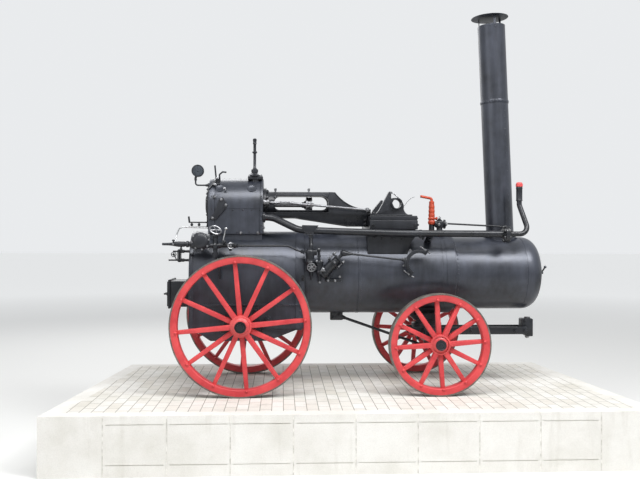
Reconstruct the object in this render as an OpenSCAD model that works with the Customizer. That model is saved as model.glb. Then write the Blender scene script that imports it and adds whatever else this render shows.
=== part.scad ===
// Portable steam engine on its display plinth.
// Engine frame: X runs forward to the smokebox, Z up from the wheel treads,
// and the rear axle is above X = 0. The part's origin is the plinth's base centre.

/* [Plinth] */
// Length of the plinth along its front face
plinth_front = 5190; // [5000:10:6000]
// Length of the plinth along its back face
plinth_back = 4690; // [4400:10:5000]
// Depth of the plinth from front to back
plinth_depth = 2600; // [2400:10:3200]
// Height of the plinth
plinth_h = 500; // [300:5:700]
// Width of one framed panel in the front face
panel_pitch = 518; // [480:2:540]
// Distance from the plinth's middle back to the rear axle
rear_axle_back = 990; // [900:5:1100]
// Distance from the plinth's middle line to the engine's middle plane
engine_offset = 50; // [0:5:120]

/* [Wheels] */
// Diameter of the rear wheels
rear_d = 1300; // [1250:5:1340]
// Diameter of the front wheels
front_d = 950; // [900:5:980]
// Distance between the two axles
wheelbase = 1837; // [1820:1:1860]
// Distance between the rim centres of a pair
track = 1284; // [1270:2:1320]
// Width of a rim
rim_w = 106; // [90:1:120]
// Thickness of the iron tyre
tyre_t = 14; // [8:1:20]
// Radial depth of the wooden felloe
felloe_h = 62; // [50:1:75]
// Spokes in each wheel
spokes = 12; // [8:2:16]
// Width of a spoke at the hub
spoke_w = 48; // [36:1:54]
// Angle of the first spoke in a rear wheel, in degrees
rear_spoke_turn = 5.4; // [0:0.2:30]
// Angle of the first spoke in a front wheel, in degrees
front_spoke_turn = 4; // [0:0.2:30]
// Radius of the rear axle's journal
rear_journal_r = 38; // [30:1:45]
// Radius of the front axle's journal
front_journal_r = 34; // [28:1:40]
// Running clearance around a journal
run_fit = 0.08; // [0.02:0.01:0.1]

/* [Boiler] */
// Height of the boiler's axis above the wheel treads
axis_z = 1115; // [1100:5:1140]
// Radius of the lagged barrel
barrel_r = 400; // [380:2:410]
// Radius of the smokebox
smokebox_r = 362; // [350:2:375]
// Where the barrel meets the firebox
barrel_x0 = 590; // [570:5:610]
// Where the barrel meets the smokebox
barrel_x1 = 2050; // [2030:5:2080]
// Where the smokebox tube ends and its dished front begins
smokebox_x1 = 2790; // [2770:5:2810]
// Wall of the smokebox
smokebox_t = 9; // [6:1:14]
// Corner radius of the dished front
dish_r = 150; // [120:5:160]
// Radius of the smokebox door
door_r = 208; // [190:2:210]

/* [Firebox] */
// Back of the firebox
firebox_x0 = -505; // [-540:5:-480]
// Half width of the firebox
firebox_r = 411; // [405:1:420]
// Height of the firebox's lower edge
firebox_z0 = 600; // [580:5:620]
// Height of the ashpan's floor
ash_z0 = 475; // [460:5:500]
// Depth of the fire mouth behind the firebox
mouth_l = 215; // [150:5:240]
// Width of the fire mouth
mouth_w = 400; // [340:5:440]
// Height of the fire mouth
mouth_h = 250; // [220:5:280]
// Lower edge of the fire mouth
mouth_z0 = 790; // [770:5:820]

/* [Chimney] */
// Outer radius of the chimney
chimney_r = 136; // [120:1:150]
// Wall of the chimney
chimney_t = 5; // [3:1:10]
// Height of the chimney's open top
chimney_top = 3620; // [3400:10:3700]
// Lean of the chimney towards the firebox, in degrees
chimney_lean = 2.5; // [0:0.1:4]
// Place of the chimney's foot along the smokebox
chimney_x = 2592; // [2560:2:2620]
// Radius of the rain cap
cap_r = 185; // [175:1:190]

/* [Cylinder and motion] */
// Back of the cylinder casing
cyl_x0 = -336; // [-360:2:-320]
// Front of the cylinder casing
cyl_x1 = 190; // [180:2:210]
// Half width of the cylinder casing
cyl_r = 285; // [275:1:295]
// Height of the casing's foot
cyl_z0 = 1500; // [1490:2:1520]
// Height of the casing's top
cyl_top = 2047; // [2030:1:2060]
// Distance from the casing's top down to the piston rod's axis
rod_drop = 254; // [245:1:262]
// Outer radius of the trunk guide
guide_r = 122; // [116:1:130]
// Bore radius of the trunk guide
guide_bore = 78; // [70:1:84]
// End of the trunk guide
guide_x1 = 900; // [880:5:930]
// Place of the crank's axis along the engine
crank_x = 1479; // [1470:1:1490]
// Bore radius of the crank bearings
crank_bore = 44; // [40:1:46]
// Distance from the middle plane to a crank bearing
bearing_y = 300; // [280:5:320]
// Width of a crank bearing
bearing_w = 130; // [120:5:130]

/* [Pipes and fittings] */
// Radius of the long exhaust pipe
exhaust_r = 31; // [28:1:32]
// Distance from the middle plane to the exhaust pipe
exhaust_y = 398; // [398:1:405]
// Radius of the feed pipe
feed_r = 10; // [8:1:12]
// Distance from the barrel's side to the feed pump's middle
pump_clear = 55; // [50:1:70]

/* [Running gear] */
// Radius of the king pin
king_r = 30; // [24:1:36]
// Height of the saddle's lower face
saddle_z0 = 590; // [585:1:600]
// Depth of the front axle beam
axle_h = 80; // [70:2:90]
// Half distance between the two draw bars
bar_y = 95; // [80:5:110]
// Depth of a draw bar
bar_h = 75; // [66:3:78]
// End of the draw bars
bar_x1 = 2835; // [2800:5:2900]
// Radius of the coupling pin
pin_r = 22; // [18:1:28]

/* [Hidden] */
fn = 96;
bend_sleeve = 1.025;
gap = 0.3;
rear_r = rear_d / 2;
front_r = front_d / 2;
front_x = wheelbase;
half_track = track / 2;
hub_rear_r = 102;
hub_front_r = 87;
hub_rear_out = 118;
hub_front_out = 78;
hub_in = 85;
cyl_arch_z = cyl_top - cyl_r;
rod_z = cyl_top - rod_drop;
crank_z = rod_z;
base_z0 = axis_z + barrel_r + 30;
base_z1 = crank_z - 115;
base_x0 = crank_x - 262;
base_x1 = crank_x + 203;
cross_x = guide_x1 - 265;
pump_x = barrel_x0 + 72;
pump_y = barrel_r + pump_clear;
exhaust_z = axis_z + 398;
branch_drop = 16;
flange_x = chimney_x - 56;
gauge_y = -150;
whistle_x = 104;
whistle_y = -110;
hinge_pin_r = 6;
ground = plinth_h + gap;
mouth_x0 = firebox_x0 - mouth_l;
mouth_hinge_y = mouth_w / 2 + 6;
door_x0 = smokebox_x1 + dish_r + gap;
door_hinge_y = door_r + 18;
axle_top = front_r + axle_h / 2;
bar_z0 = axle_top - 15;
jaw_x0 = bar_x1 - 34;
jaw_x1 = bar_x1 + 80;
jaw_z0 = bar_z0 - 28;
jaw_z1 = bar_z0 + 152;
pin_x = jaw_x1 - 43;

black = "#26282b";
red = "#c4363a";
iron = "#8c8880";
stone = "#dcd8cf";

// Places a piece of the engine on the plinth
module on_plinth() {
    translate([-rear_axle_back, engine_offset, ground]) children();
}

// Cylinder along X from x0 to x1
module xcyl(x0, x1, r, y = 0, z = 0) {
    translate([x0, y, z]) rotate([0, 90, 0]) cylinder(h = x1 - x0, r = r, $fn = fn);
}

// Cylinder along Y from y0 to y1
module ycyl(y0, y1, r, x = 0, z = 0) {
    translate([x, y0, z]) rotate([-90, 0, 0]) cylinder(h = y1 - y0, r = r, $fn = fn);
}

// Cylinder along Z from z0 to z1
module zcyl(z0, z1, r, x = 0, y = 0) {
    translate([x, y, z0]) cylinder(h = z1 - z0, r = r, $fn = fn);
}

// Box given by its middle in Y, with X and Z ranges
module slab(x0, x1, z0, z1, w, y = 0) {
    translate([x0, y - w / 2, z0]) cube([x1 - x0, w, z1 - z0]);
}

// Plate in the XZ plane of width w around y
module xz_plate(w, y = 0) {
    translate([0, y + w / 2, 0]) rotate([90, 0, 0]) linear_extrude(w) children();
}

// Round bar from one point to another
module rod(a, b, r) {
    d = b - a;
    l = norm(d);
    translate(a)
        rotate([0, acos(d[2] / l), atan2(d[1], d[0])])
            cylinder(h = l, r = r, $fn = 32);
}

function unit(v) = v / norm(v);

// Angle between two directions
function turn(u, v) = acos(max(-1, min(1, unit(u) * unit(v))));

// Length that a bend of the given radius takes from each leg at corner i
function bend_cut(p, i, bend) =
    i <= 0 || i >= len(p) - 1 ? 0 : bend * tan(turn(p[i] - p[i - 1], p[i + 1] - p[i]) / 2);

// Round pipe along a list of points; each corner is a bend a little thicker than the pipe
module pipe(points, r, bend) {
    for (i = [0 : len(points) - 2]) {
        u = unit(points[i + 1] - points[i]);
        inset0 = max(0, bend_cut(points, i, bend) - 1);
        inset1 = max(0, bend_cut(points, i + 1, bend) - 1);
        rod(points[i] + inset0 * u, points[i + 1] - inset1 * u, r);
    }
    for (i = [1 : len(points) - 2]) {
        u = unit(points[i] - points[i - 1]);
        v = unit(points[i + 1] - points[i]);
        n = unit(cross(u, v));
        m = cross(n, u);
        c = points[i] - bend_cut(points, i, bend) * u + bend * m;
        multmatrix([[-m[0], u[0], n[0], c[0]], [-m[1], u[1], n[1], c[1]], [-m[2], u[2], n[2], c[2]]])
            rotate_extrude(angle = turn(u, v), $fn = 96)
                translate([bend, 0]) circle(r = r * bend_sleeve + 0.2, $fn = 32);
    }
}

// Plinth with a chamfered plan and framed panels in its front face
module plinth() {
    half_f = plinth_front / 2;
    half_b = plinth_back / 2;
    panels = floor((plinth_front - 1000) / panel_pitch);
    first = -panels * panel_pitch / 2;
    color(stone) difference() {
        linear_extrude(plinth_h)
            polygon([[-half_f, -plinth_depth / 2], [half_f, -plinth_depth / 2],
                [half_b, plinth_depth / 2], [-half_b, plinth_depth / 2]]);
        for (i = [0 : panels])
            translate([first + i * panel_pitch - 5, -plinth_depth / 2 - 1, -1])
                cube([10, 13, plinth_h + 2]);
        for (i = [0 : panels - 1])
            for (z = [0.19, 0.85])
                translate([first + i * panel_pitch + 25, -plinth_depth / 2 - 1, z * plinth_h])
                    cube([panel_pitch - 50, 9, 8]);
    }
}

// Section of the firebox: round top, straight sides
module firebox_section(r, z0) {
    translate([0, axis_z]) circle(r = r, $fn = 96);
    translate([-r, z0]) square([2 * r, axis_z - z0]);
}

module along_x(x0, x1) {
    translate([x0, 0, 0]) rotate([90, 0, 90]) linear_extrude(x1 - x0) children();
}

// Firebox wrapper with its lap strips
module firebox_shell() {
    strip = 10;
    color(black) difference() {
        union() {
            along_x(firebox_x0, barrel_x0) firebox_section(firebox_r, firebox_z0);
            along_x(barrel_x0 - 87, barrel_x0) firebox_section(firebox_r + 4, firebox_z0);
            along_x(firebox_x0, firebox_x0 + 40) firebox_section(firebox_r + 4, firebox_z0);
            slab(firebox_x0, barrel_x0, 815, 835, 2 * firebox_r + 2 * strip);
        }
        for (s = [-1, 1])
            ycyl(s * firebox_r - 30, s * firebox_r + 30, 24, 240, 690);
    }
}

// Ashpan with sloping ends and its air opening
module ash_pan() {
    color(black) difference() {
        xz_plate(2 * firebox_r - 150)
            polygon([[firebox_x0 + 20, firebox_z0], [barrel_x0 - 20, firebox_z0],
                [245, ash_z0], [-305, ash_z0]]);
        translate([0, 0, 12]) xz_plate(2 * firebox_r - 170)
            polygon([[firebox_x0 + 45, firebox_z0], [barrel_x0 - 45, firebox_z0],
                [235, ash_z0], [-295, ash_z0]]);
        slab(firebox_x0 - 20, -200, ash_z0 + 45, ash_z0 + 100, 420);
    }
}

// Fire mouth: an open box on the back of the firebox
module fire_mouth() {
    x0 = mouth_x0;
    hy = mouth_hinge_y;
    hx = mouth_x0 - 6 - gap - 11;
    zc = mouth_z0 + mouth_h / 2;
    color(black) union() {
        difference() {
            union() {
                slab(x0, firebox_x0, mouth_z0, mouth_z0 + mouth_h, mouth_w);
                slab(x0 - 6, x0 + 14, mouth_z0 - 15, mouth_z0 + mouth_h + 15, mouth_w + 30);
            }
            slab(x0 - 10, firebox_x0 - 10, mouth_z0 + 30, mouth_z0 + mouth_h - 30, mouth_w - 60);
        }
        for (s = [-1, 1])
            slab(hx - 8, x0, zc + s * 118 - 7, zc + s * 118 + 7, 16, hy);
        zcyl(zc - 125, zc + 125, hinge_pin_r, hx, hy);
    }
}

// Door of the fire mouth, hinged at its far edge
module fire_door() {
    x0 = mouth_x0 - 6 - gap;
    hy = mouth_hinge_y;
    w = mouth_w - 20;
    h = mouth_h - 10;
    zc = mouth_z0 + mouth_h / 2;
    color(black) difference() {
        union() {
            slab(x0 - 12, x0, zc - h / 2, zc + h / 2, w);
            for (z = [zc - 72, zc + 72]) {
                slab(x0 - 20, x0 - 11, z - 15, z + 15, w / 2 + hy, (hy - w / 2) / 2);
                zcyl(z - 15, z + 15, 10, x0 - 11, hy);
            }
            xcyl(x0 - 46, x0 - 10, 9, 27 - w / 2, zc);
            rod([x0 - 42, 27 - w / 2, zc], [x0 - 42, 120 - w / 2, zc], 8);
        }
        zcyl(zc - 200, zc + 200, hinge_pin_r + run_fit, x0 - 11, hy);
        for (z = [-1, 1])
            slab(x0 - 30, x0 + 10, zc + z * 30 - 6, zc + z * 30 + 6, 110, 20);
    }
}

// Lagged barrel with its bands
module boiler_barrel() {
    color(black) union() {
        xcyl(barrel_x0, barrel_x1, barrel_r, 0, axis_z);
        for (x = [barrel_x0 + 10, barrel_x0 + 520, barrel_x0 + 1336])
            xcyl(x, x + 26, barrel_r + 3, 0, axis_z);
    }
}

// Half section of the dished front, from its rim to the door's opening
module dish_profile(r, t, hole) {
    difference() {
        union() {
            square([r - dish_r, dish_r]);
            translate([r - dish_r, 0]) intersection() {
                circle(r = dish_r, $fn = 64);
                square([dish_r, dish_r]);
            }
        }
        translate([-1, -1]) square([r - dish_r + 1, dish_r - t + 1]);
        translate([r - dish_r, 0]) circle(r = dish_r - t, $fn = 64);
        translate([-1, -1]) square([hole + 1, dish_r + 2]);
    }
}

// Smokebox: rolled tube, back ring and dished front
module smokebox() {
    color(black) union() {
        difference() {
            xcyl(barrel_x1, smokebox_x1, smokebox_r, 0, axis_z);
            xcyl(barrel_x1 + 12, smokebox_x1 + 1, smokebox_r - smokebox_t, 0, axis_z);
            zcyl(axis_z + 100, axis_z + 500, chimney_r - 12, chimney_x + 4);
        }
        translate([smokebox_x1, 0, axis_z]) rotate([0, 90, 0])
            rotate_extrude($fn = 96) dish_profile(smokebox_r, smokebox_t, door_r - 18);
        translate([barrel_x1, 0, axis_z]) rotate([0, 90, 0])
            rotate_extrude($fn = 96)
                translate([smokebox_r - 2, 0]) square([barrel_r - smokebox_r - 4, 8]);
        for (z = [-150, 150])
            slab(door_x0 - 24, door_x0 + 24, axis_z + z - 8, axis_z + z + 8, 26, door_hinge_y);
        zcyl(axis_z - 158, axis_z + 158, hinge_pin_r, door_x0 + 13, door_hinge_y);
    }
}

// Smokebox door: a dished round plate with hinge straps and a dart handle
module smokebox_door() {
    x0 = door_x0;
    bulge = 60;
    dome_r = (door_r * door_r + bulge * bulge) / (2 * bulge);
    color(black) union() {
        translate([x0, 0, axis_z]) rotate([0, 90, 0]) rotate_extrude($fn = 96)
            difference() {
                union() {
                    square([door_r, 12]);
                    translate([0, bulge - dome_r]) intersection() {
                        circle(r = dome_r, $fn = 180);
                        translate([0, dome_r - bulge]) square([door_r - 12, bulge]);
                    }
                }
                translate([0, bulge - dome_r]) circle(r = dome_r - 9, $fn = 180);
                translate([-door_r, -2]) square([2 * door_r - 44, 6]);
                translate([-door_r, -400]) square([door_r, 800]);
            }
        difference() {
            union() for (z = [-110, 110]) {
                slab(x0 + 6, x0 + 20, axis_z + z - 20, axis_z + z + 20, 110, door_hinge_y - 55);
                zcyl(axis_z + z - 30, axis_z + z + 30, 12, x0 + 13, door_hinge_y);
            }
            zcyl(axis_z - 200, axis_z + 200, hinge_pin_r + run_fit, x0 + 13, door_hinge_y);
        }
        xcyl(x0 + bulge - 8, x0 + bulge + 36, 14, 0, axis_z);
        rod([x0 + bulge + 26, 0, axis_z], [x0 + bulge + 26, -110, axis_z + 60], 9);
    }
}

// Chimney: foot, tube with a lap ring, and the rain cap on three struts
module chimney() {
    foot_z = axis_z + smokebox_r - 32;
    l = (chimney_top - foot_z) / cos(chimney_lean);
    bore = chimney_r - chimney_t;
    color(black) difference() {
        union() {
            translate([chimney_x, 0, foot_z]) rotate([0, -chimney_lean, 0]) {
                difference() {
                    union() {
                        cylinder(h = l, r = chimney_r, $fn = 96);
                        translate([0, 0, l * 0.635]) cylinder(h = 34, r = chimney_r + 4, $fn = 96);
                    }
                    translate([0, 0, -50]) cylinder(h = l + 60, r = bore, $fn = 96);
                }
                for (a = [30, 150, 270])
                    rotate([0, 0, a]) translate([bore - 8, -12, l - 40]) cube([9, 24, 126]);
                translate([-14, 0, l + 82]) cylinder(h = 8, r = cap_r, $fn = 96);
            }
            difference() {
                union() {
                    zcyl(foot_z - 60, foot_z + 66, chimney_r + 18, chimney_x);
                    zcyl(foot_z + 44, foot_z + 62, chimney_r + 36, chimney_x);
                }
                translate([chimney_x, 0, foot_z]) rotate([0, -chimney_lean, 0])
                    translate([0, 0, -200]) cylinder(h = 400, r = bore, $fn = 96);
            }
        }
        xcyl(chimney_x - 400, chimney_x + 400, smokebox_r + gap, 0, axis_z);
    }
}

// Section of the casing: straight sides under a half-round top
module casing_section(r, z0) {
    translate([0, cyl_arch_z]) circle(r = r, $fn = 96);
    translate([-r, z0]) square([2 * r, cyl_arch_z - z0]);
}

// Cylinder casing: straight sides under a half-round top
module cylinder_block() {
    color(black) difference() {
        union() {
            along_x(cyl_x0, cyl_x1) casing_section(cyl_r, cyl_z0);
            slab(cyl_x0 + 20, cyl_x1 - 10, axis_z + 250, cyl_z0 + 1, 2 * cyl_r - 60);
            for (x = [-243, 86])
                ycyl(-cyl_r + 23, -150, 45, x, cyl_top - 101);
            along_x(cyl_x1 - 26, cyl_x1 - 4) casing_section(cyl_r + 8, cyl_z0 + 6);
        }
        xcyl(cyl_x0 - 1, cyl_x1 + 1, firebox_r + gap, 0, axis_z);
    }
}

// Covers on the casing's two ends
module cylinder_cover() {
    color(black) union() {
        xcyl(cyl_x0 - 26, cyl_x0, 150, 0, rod_z);
        xcyl(cyl_x0 - 44, cyl_x0 - 20, 90, 0, rod_z);
        slab(cyl_x0 - 14, cyl_x0, rod_z - 233, rod_z + 107, 150, -190);
    }
}

// Trunk guide with side windows, its sloping bed and two arms to the crank base
module guide_frame() {
    win_x0 = cyl_x1 + 126;
    win_x1 = guide_x1 - 68;
    bed_z = rod_z - 121;
    win_r = guide_bore - 1;
    arm_y = 130;
    arm_w = 34;
    sweep_x = crank_x - 244;
    color(black) difference() {
        union() {
            xcyl(cyl_x1, guide_x1, guide_r, 0, rod_z);
            xcyl(cyl_x1, cyl_x1 + 28, guide_r + 42, 0, rod_z);
            for (s = [-1, 1])
                xz_plate(arm_w, s * arm_y) difference() {
                    polygon([[cyl_x1, bed_z], [cyl_x1, bed_z + 46], [win_x0 + 60, bed_z + 46],
                        [win_x1, bed_z + 46], [win_x1, rod_z + guide_r],
                        [base_x0 + 34, rod_z + guide_r], [base_x0 + 34, base_z1 + gap],
                        [base_x0, base_z1 + gap], [base_x0, bed_z - 92],
                        [base_x0 - 177, bed_z - 92], [cyl_x1 + 240, bed_z]]);
                    translate([sweep_x, rod_z + 376]) circle(r = 423, $fn = 180);
                }
            slab(cyl_x1, guide_x1 + 40, bed_z - 12, bed_z + 18, 2 * arm_y);
        }
        xcyl(cyl_x1 - 1, guide_x1 + 200, guide_bore, 0, rod_z);
        for (x = [win_x0 + win_r, win_x1 - win_r])
            ycyl(-300, 300, win_r, x, rod_z);
        slab(win_x0 + win_r, win_x1 - win_r, rod_z - win_r, rod_z + win_r, 600);
    }
}

// Piston rod and crosshead, left at mid stroke
module crosshead() {
    color("#3a3a3c") union() {
        xcyl(cyl_x1 + gap, cross_x + 5, 22, 0, rod_z);
        difference() {
            xcyl(cross_x - 41, cross_x + 41, guide_bore - gap, 0, rod_z);
            slab(cross_x + 5, cross_x + 55, rod_z - 40, rod_z + 40, 60);
        }
        ycyl(-50, 50, 19, cross_x + 20, rod_z);
        for (s = [-1, 1])
            slab(cross_x - 55, cross_x + 55, rod_z - 16, rod_z + 16, 22, s * (guide_bore - 12));
    }
}

// Valve rod with its gland, fork and end joint
module valve_rod() {
    y = -205;
    color("#3a3a3c") union() {
        xcyl(cyl_x1, cyl_x1 + 60, 26, y, rod_z + 15);
        pipe([[cyl_x1 + 40, y, rod_z + 15], [cyl_x1 + 270, y, rod_z + 7],
            [base_x0 - 22, y, rod_z - 53]], 11, 60);
        slab(cyl_x1 + 160, cyl_x1 + 260, rod_z - 6, rod_z + 26, 30, y);
        ycyl(y - 16, y + 16, 22, base_x0 - 9, rod_z - 53);
    }
}

// Crank base: two-tier beams on a saddle that wraps the barrel
module crank_base() {
    x0 = base_x0;
    x1 = base_x1;
    wall = 26;
    color(black) union() {
        for (s = [-1, 1]) {
            slab(x0, x1, base_z0, base_z1 - 45, 130, s * bearing_y);
            slab(x0 + 4, x1 - 4, base_z1 - 53, base_z1, 116, s * bearing_y);
        }
        difference() {
            union() {
                slab(x0, x0 + wall, axis_z + 325, base_z1, 2 * bearing_y);
                slab(x1 - 115, x1 - 115 + wall, axis_z + 325, base_z0 + 60, 2 * bearing_y);
                for (s = [-1, 1])
                    xz_plate(wall, s * (bearing_y + 40))
                        polygon([[x0 - 20, axis_z + 185], [x1 - 100, axis_z + 185],
                            [x1 - 66, base_z0 - 128], [x1 - 20, base_z0 - 65],
                            [x1 - 20, base_z0 + 5], [x0 - 20, base_z0 + 5]]);
            }
            xcyl(x0 - 50, x1 + 50, barrel_r + 15, 0, axis_z);
        }
        difference() {
            xcyl(x0 - 20, x1 - 90, barrel_r + 16, 0, axis_z);
            xcyl(x0 - 21, x1 - 89, barrel_r + gap, 0, axis_z);
            slab(x0 - 21, x1 - 89, 0, axis_z + 175, 2000);
        }
    }
}

// Side view of a pedestal: swept sides, a horn at the back, an arched top over the bore
module pedestal_outline(tip) {
    difference() {
        union() {
            polygon([[crank_x - 239, base_z1], [crank_x + 151, base_z1], [crank_x + 151, base_z1 + 12],
                [crank_x + 69, crank_z - 37], [crank_x + 69, crank_z - 12],
                [crank_x - 52, crank_z + 36], [crank_x - 52, tip - 4], [crank_x - 56, tip],
                [crank_x - 69, tip], [crank_x - 76, tip - 7], [crank_x - 166, crank_z - 57],
                [crank_x - 239, base_z1 + 12]]);
            intersection() {
                translate([crank_x - 17, crank_z - 32]) circle(r = 90, $fn = 96);
                translate([crank_x - 120, base_z1]) square([240, 200]);
            }
        }
        translate([crank_x - 254, crank_z - 8]) circle(r = 100, $fn = 96);
        translate([crank_x + 141, crank_z - 37]) circle(r = 71, $fn = 96);
    }
}

// Crank bearings: two pedestals with their bushes; the far horn is the lower one
module crank_bearings() {
    color(black) for (s = [-1, 1])
        difference() {
            union() {
                xz_plate(bearing_w - 60, s * bearing_y)
                    pedestal_outline(crank_z + (s < 0 ? 119 : 68));
                ycyl(s * bearing_y - bearing_w / 2, s * bearing_y + bearing_w / 2, crank_bore + 12,
                    crank_x, crank_z);
                slab(crank_x - 239, crank_x + 151, base_z1, base_z1 + 12, 116, s * bearing_y);
            }
            ycyl(s * bearing_y - bearing_w, s * bearing_y + bearing_w, crank_bore,
                crank_x, crank_z);
        }
}

// Long exhaust pipe with the branch box over the pump and its flange
module exhaust_pipe() {
    y = -exhaust_y;
    color(black) union() {
        pipe([[cyl_x1 + 4, -cyl_r + 33, exhaust_z + 149], [cyl_x1 + 100, -cyl_r + 23, exhaust_z + 143],
            [cyl_x1 + 340, y, exhaust_z + 35], [flange_x - 1, y, exhaust_z]], exhaust_r, 130);
        xcyl(cyl_x1 + gap, cyl_x1 + 22, 52, -cyl_r + 33, exhaust_z + 149);
        xz_plate(2 * exhaust_r + 12, y)
            polygon([[pump_x - 98, exhaust_z + 20], [pump_x - 98, exhaust_z + 70],
                [pump_x + 59, exhaust_z + 67], [pump_x + 4, exhaust_z - branch_drop],
                [pump_x - 58, exhaust_z - branch_drop]]);
        xcyl(flange_x - 36, flange_x, 84, y, exhaust_z);
    }
}

// Bend and riser beside the chimney, with its red cap
module exhaust_riser() {
    y = -exhaust_y;
    z = exhaust_z;
    x = chimney_x + 105;
    color(black) union() {
        xcyl(flange_x, flange_x + 36, 84, y, z);
        pipe([[flange_x + 24, y, z], [flange_x + 229, y, z], [x, y + 110, z + 277],
            [x, y + 110, z + 367]], exhaust_r - 6, 80);
        zcyl(z + 313, z + 455, exhaust_r - 1, x, y + 110);
    }
    color(red) zcyl(z + 455, z + 500, exhaust_r + 3, x, y + 110);
}

// Whistle column on top of the casing
module whistle_column() {
    x = whistle_x;
    y = whistle_y;
    color(black) union() {
        difference() {
            zcyl(cyl_top - 80, cyl_top + 36, 58, x, y);
            xcyl(x - 100, x + 100, cyl_r + gap, 0, cyl_arch_z);
        }
        zcyl(cyl_top + 33, cyl_top + 103, 34, x, y);
        zcyl(cyl_top + 103, cyl_top + 393, 14, x, y);
        zcyl(cyl_top + 253, cyl_top + 275, 24, x, y);
        zcyl(cyl_top + 348, cyl_top + 398, 19, x, y);
    }
}

// Pressure gauge on its bent stem
module pressure_gauge() {
    x = cyl_x0 - 112;
    arm_z = cyl_top - 72;
    dial_z = cyl_top + 68;
    color(black) union() {
        pipe([[cyl_x0 - 30, gauge_y, arm_z], [x - 22, gauge_y, arm_z],
            [x - 22, gauge_y, dial_z - 45]], 9, 24);
        xcyl(cyl_x0 - 40, cyl_x0, 20, gauge_y, arm_z);
        difference() {
            ycyl(gauge_y - 30, gauge_y + 20, 60, x, dial_z);
            ycyl(gauge_y - 31, gauge_y - 26, 52, x, dial_z);
        }
    }
}

// Blower valve on the barrel's top, with its pipe to the chimney
module blower_valve() {
    y = -88;
    end_x = chimney_x - 2;
    top = axis_z + barrel_r;
    color(black) union() {
        difference() {
            zcyl(top - 60, top + 55, 36, barrel_x1 - 60, y);
            xcyl(barrel_x1 - 150, barrel_x1 - 5, barrel_r + gap, 0, axis_z);
        }
        xcyl(barrel_x1 - 108, barrel_x1 - 10, 44, y, top + 83);
        difference() {
            pipe([[barrel_x1 - 20, y, top + 83], [end_x - 90, y - 66, top + 65],
                [end_x, y - 66, top + 59], [end_x, -60, top + 57]], 8, 30);
            translate([chimney_x, 0, axis_z + smokebox_r - 32]) rotate([0, -chimney_lean, 0])
                cylinder(h = 400, r = chimney_r + gap, $fn = 96);
        }
    }
}

// Steam valve in red with its bent handle
module steam_valve() {
    x = barrel_x1 - 160;
    y = -60;
    top = axis_z + barrel_r;
    color(red) union() {
        difference() {
            zcyl(top - 60, top + 20, 33, x, y);
            xcyl(x - 100, x + 100, barrel_r + gap, 0, axis_z);
        }
        zcyl(top + 10, top + 315, 22, x, y);
        zcyl(top + 85, top + 125, 31, x, y);
        zcyl(top + 175, top + 245, 32, x, y);
        pipe([[x, y, top + 305], [x, y, top + 345], [x - 116, y, top + 367]], 13, 22);
    }
}

// Injector and its valves on the near side of the firebox
module injector() {
    color(black) translate([firebox_x0, -pump_y, axis_z]) union() {
        xcyl(-240, 27, 15, 0, 285);
        xcyl(-135, 27, 24, 0, 285);
        xcyl(27, 170, 44, 0, 285);
        zcyl(215, 365, 46, 106);
        zcyl(155, 385, 26, 255);
        zcyl(385, 405, 10, 255);
        zcyl(405, 419, 58, 255);
        xcyl(170, 385, 22, 0, 270);
        xcyl(385, 409, 48, 0, 270);
        xcyl(409, 448, 20, 0, 270);
        difference() {
            union() {
                ycyl(0, pump_y - 300, 24, 255, 185);
                ycyl(0, pump_y - 240, 24, 106, 325);
            }
            xcyl(-10, 1200, firebox_r + gap, pump_y);
        }
        zcyl(-25, 165, 9, 255);
    }
}

// Feed pipe from the injector to the pump's valve box
module feed_pipe() {
    y = -pump_y;
    color(black) pipe([[firebox_x0 + 448 + gap, y, axis_z + 270], [pump_x - 322, y, axis_z + 270],
        [pump_x - 142, y, axis_z + 230], [pump_x - 73 - gap, y, axis_z + 210]], feed_r, 60);
}

// Feed pump: delivery elbow, valve boxes, slanting barrel with its gland, and the bracket
module feed_pump() {
    top_y = pump_y - exhaust_y;
    top_z = exhaust_z - branch_drop - axis_z - gap;
    color(black) translate([pump_x, -pump_y, axis_z]) union() {
        pipe([[-12, top_y, top_z], [-12, top_y, top_z - 45], [-12, 0, top_z - 125],
            [-12, 0, 205]], 11, 40);
        zcyl(top_z - 42, top_z - 6, 17, -12, top_y);
        xcyl(-64, 46, 30, 0, 210);
        zcyl(30, 212, 42, -31);
        ycyl(-58, 0, 40, -12, 69);
        zcyl(-12, 40, 17, -12);
        zcyl(-54, -10, 9, -12);
        xcyl(-31, 62, 28, 0, 62);
        zcyl(15, 108, 37, 64);
        zcyl(106, 122, 45, 62);
        zcyl(120, 257, 11, 62);
        zcyl(236, 250, 16, 62);
        zcyl(-70, 20, 20, 67);
        zcyl(-86, -68, 12, 67);
        rod([82, 0, -10], [199, 0, 107], 44);
        rod([193, 0, 101], [203, 0, 111], 60);
        rod([199, 0, 107], [240, 0, 148], 30);
        rod([236, 0, 144], [246, 0, 154], 56);
        difference() {
            union() {
                ycyl(0, pump_clear + 60, 38, 152, 38);
                slab(123, 273, -70, -46, 110, 55);
                slab(140, 164, -50, 40, 90, 50);
            }
            xcyl(-60, 340, barrel_r + gap, pump_y);
        }
    }
}

// Pump rod and the half of its eccentric strap that is left
module pump_rod() {
    y = -pump_y;
    sx = crank_x + 200;
    sz = axis_z + 123;
    color(black) union() {
        rod([pump_x + 293, y, axis_z + 203], [sx - 117, y, sz + 12], 9);
        rod([pump_x + 293, y, axis_z + 203], [pump_x + 352, y, axis_z + 199], 15);
        difference() {
            union() {
                ycyl(y - 20, y + 20, 31, pump_x + 293, axis_z + 203);
                rod([pump_x + 240, y, axis_z + 148], [pump_x + 293, y, axis_z + 201], 18);
            }
            rod([pump_x + 60, y, axis_z - 32], [pump_x + 246 + gap, y, axis_z + 154 + gap], 57);
        }
        difference() {
            ycyl(y - 26, y + 26, 128, sx, sz);
            ycyl(y - 30, y + 30, 100, sx, sz);
            translate([sx, y - 40, sz]) rotate([0, 38, 0]) translate([0, 0, -300])
                cube([300, 80, 600]);
        }
    }
}

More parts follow.
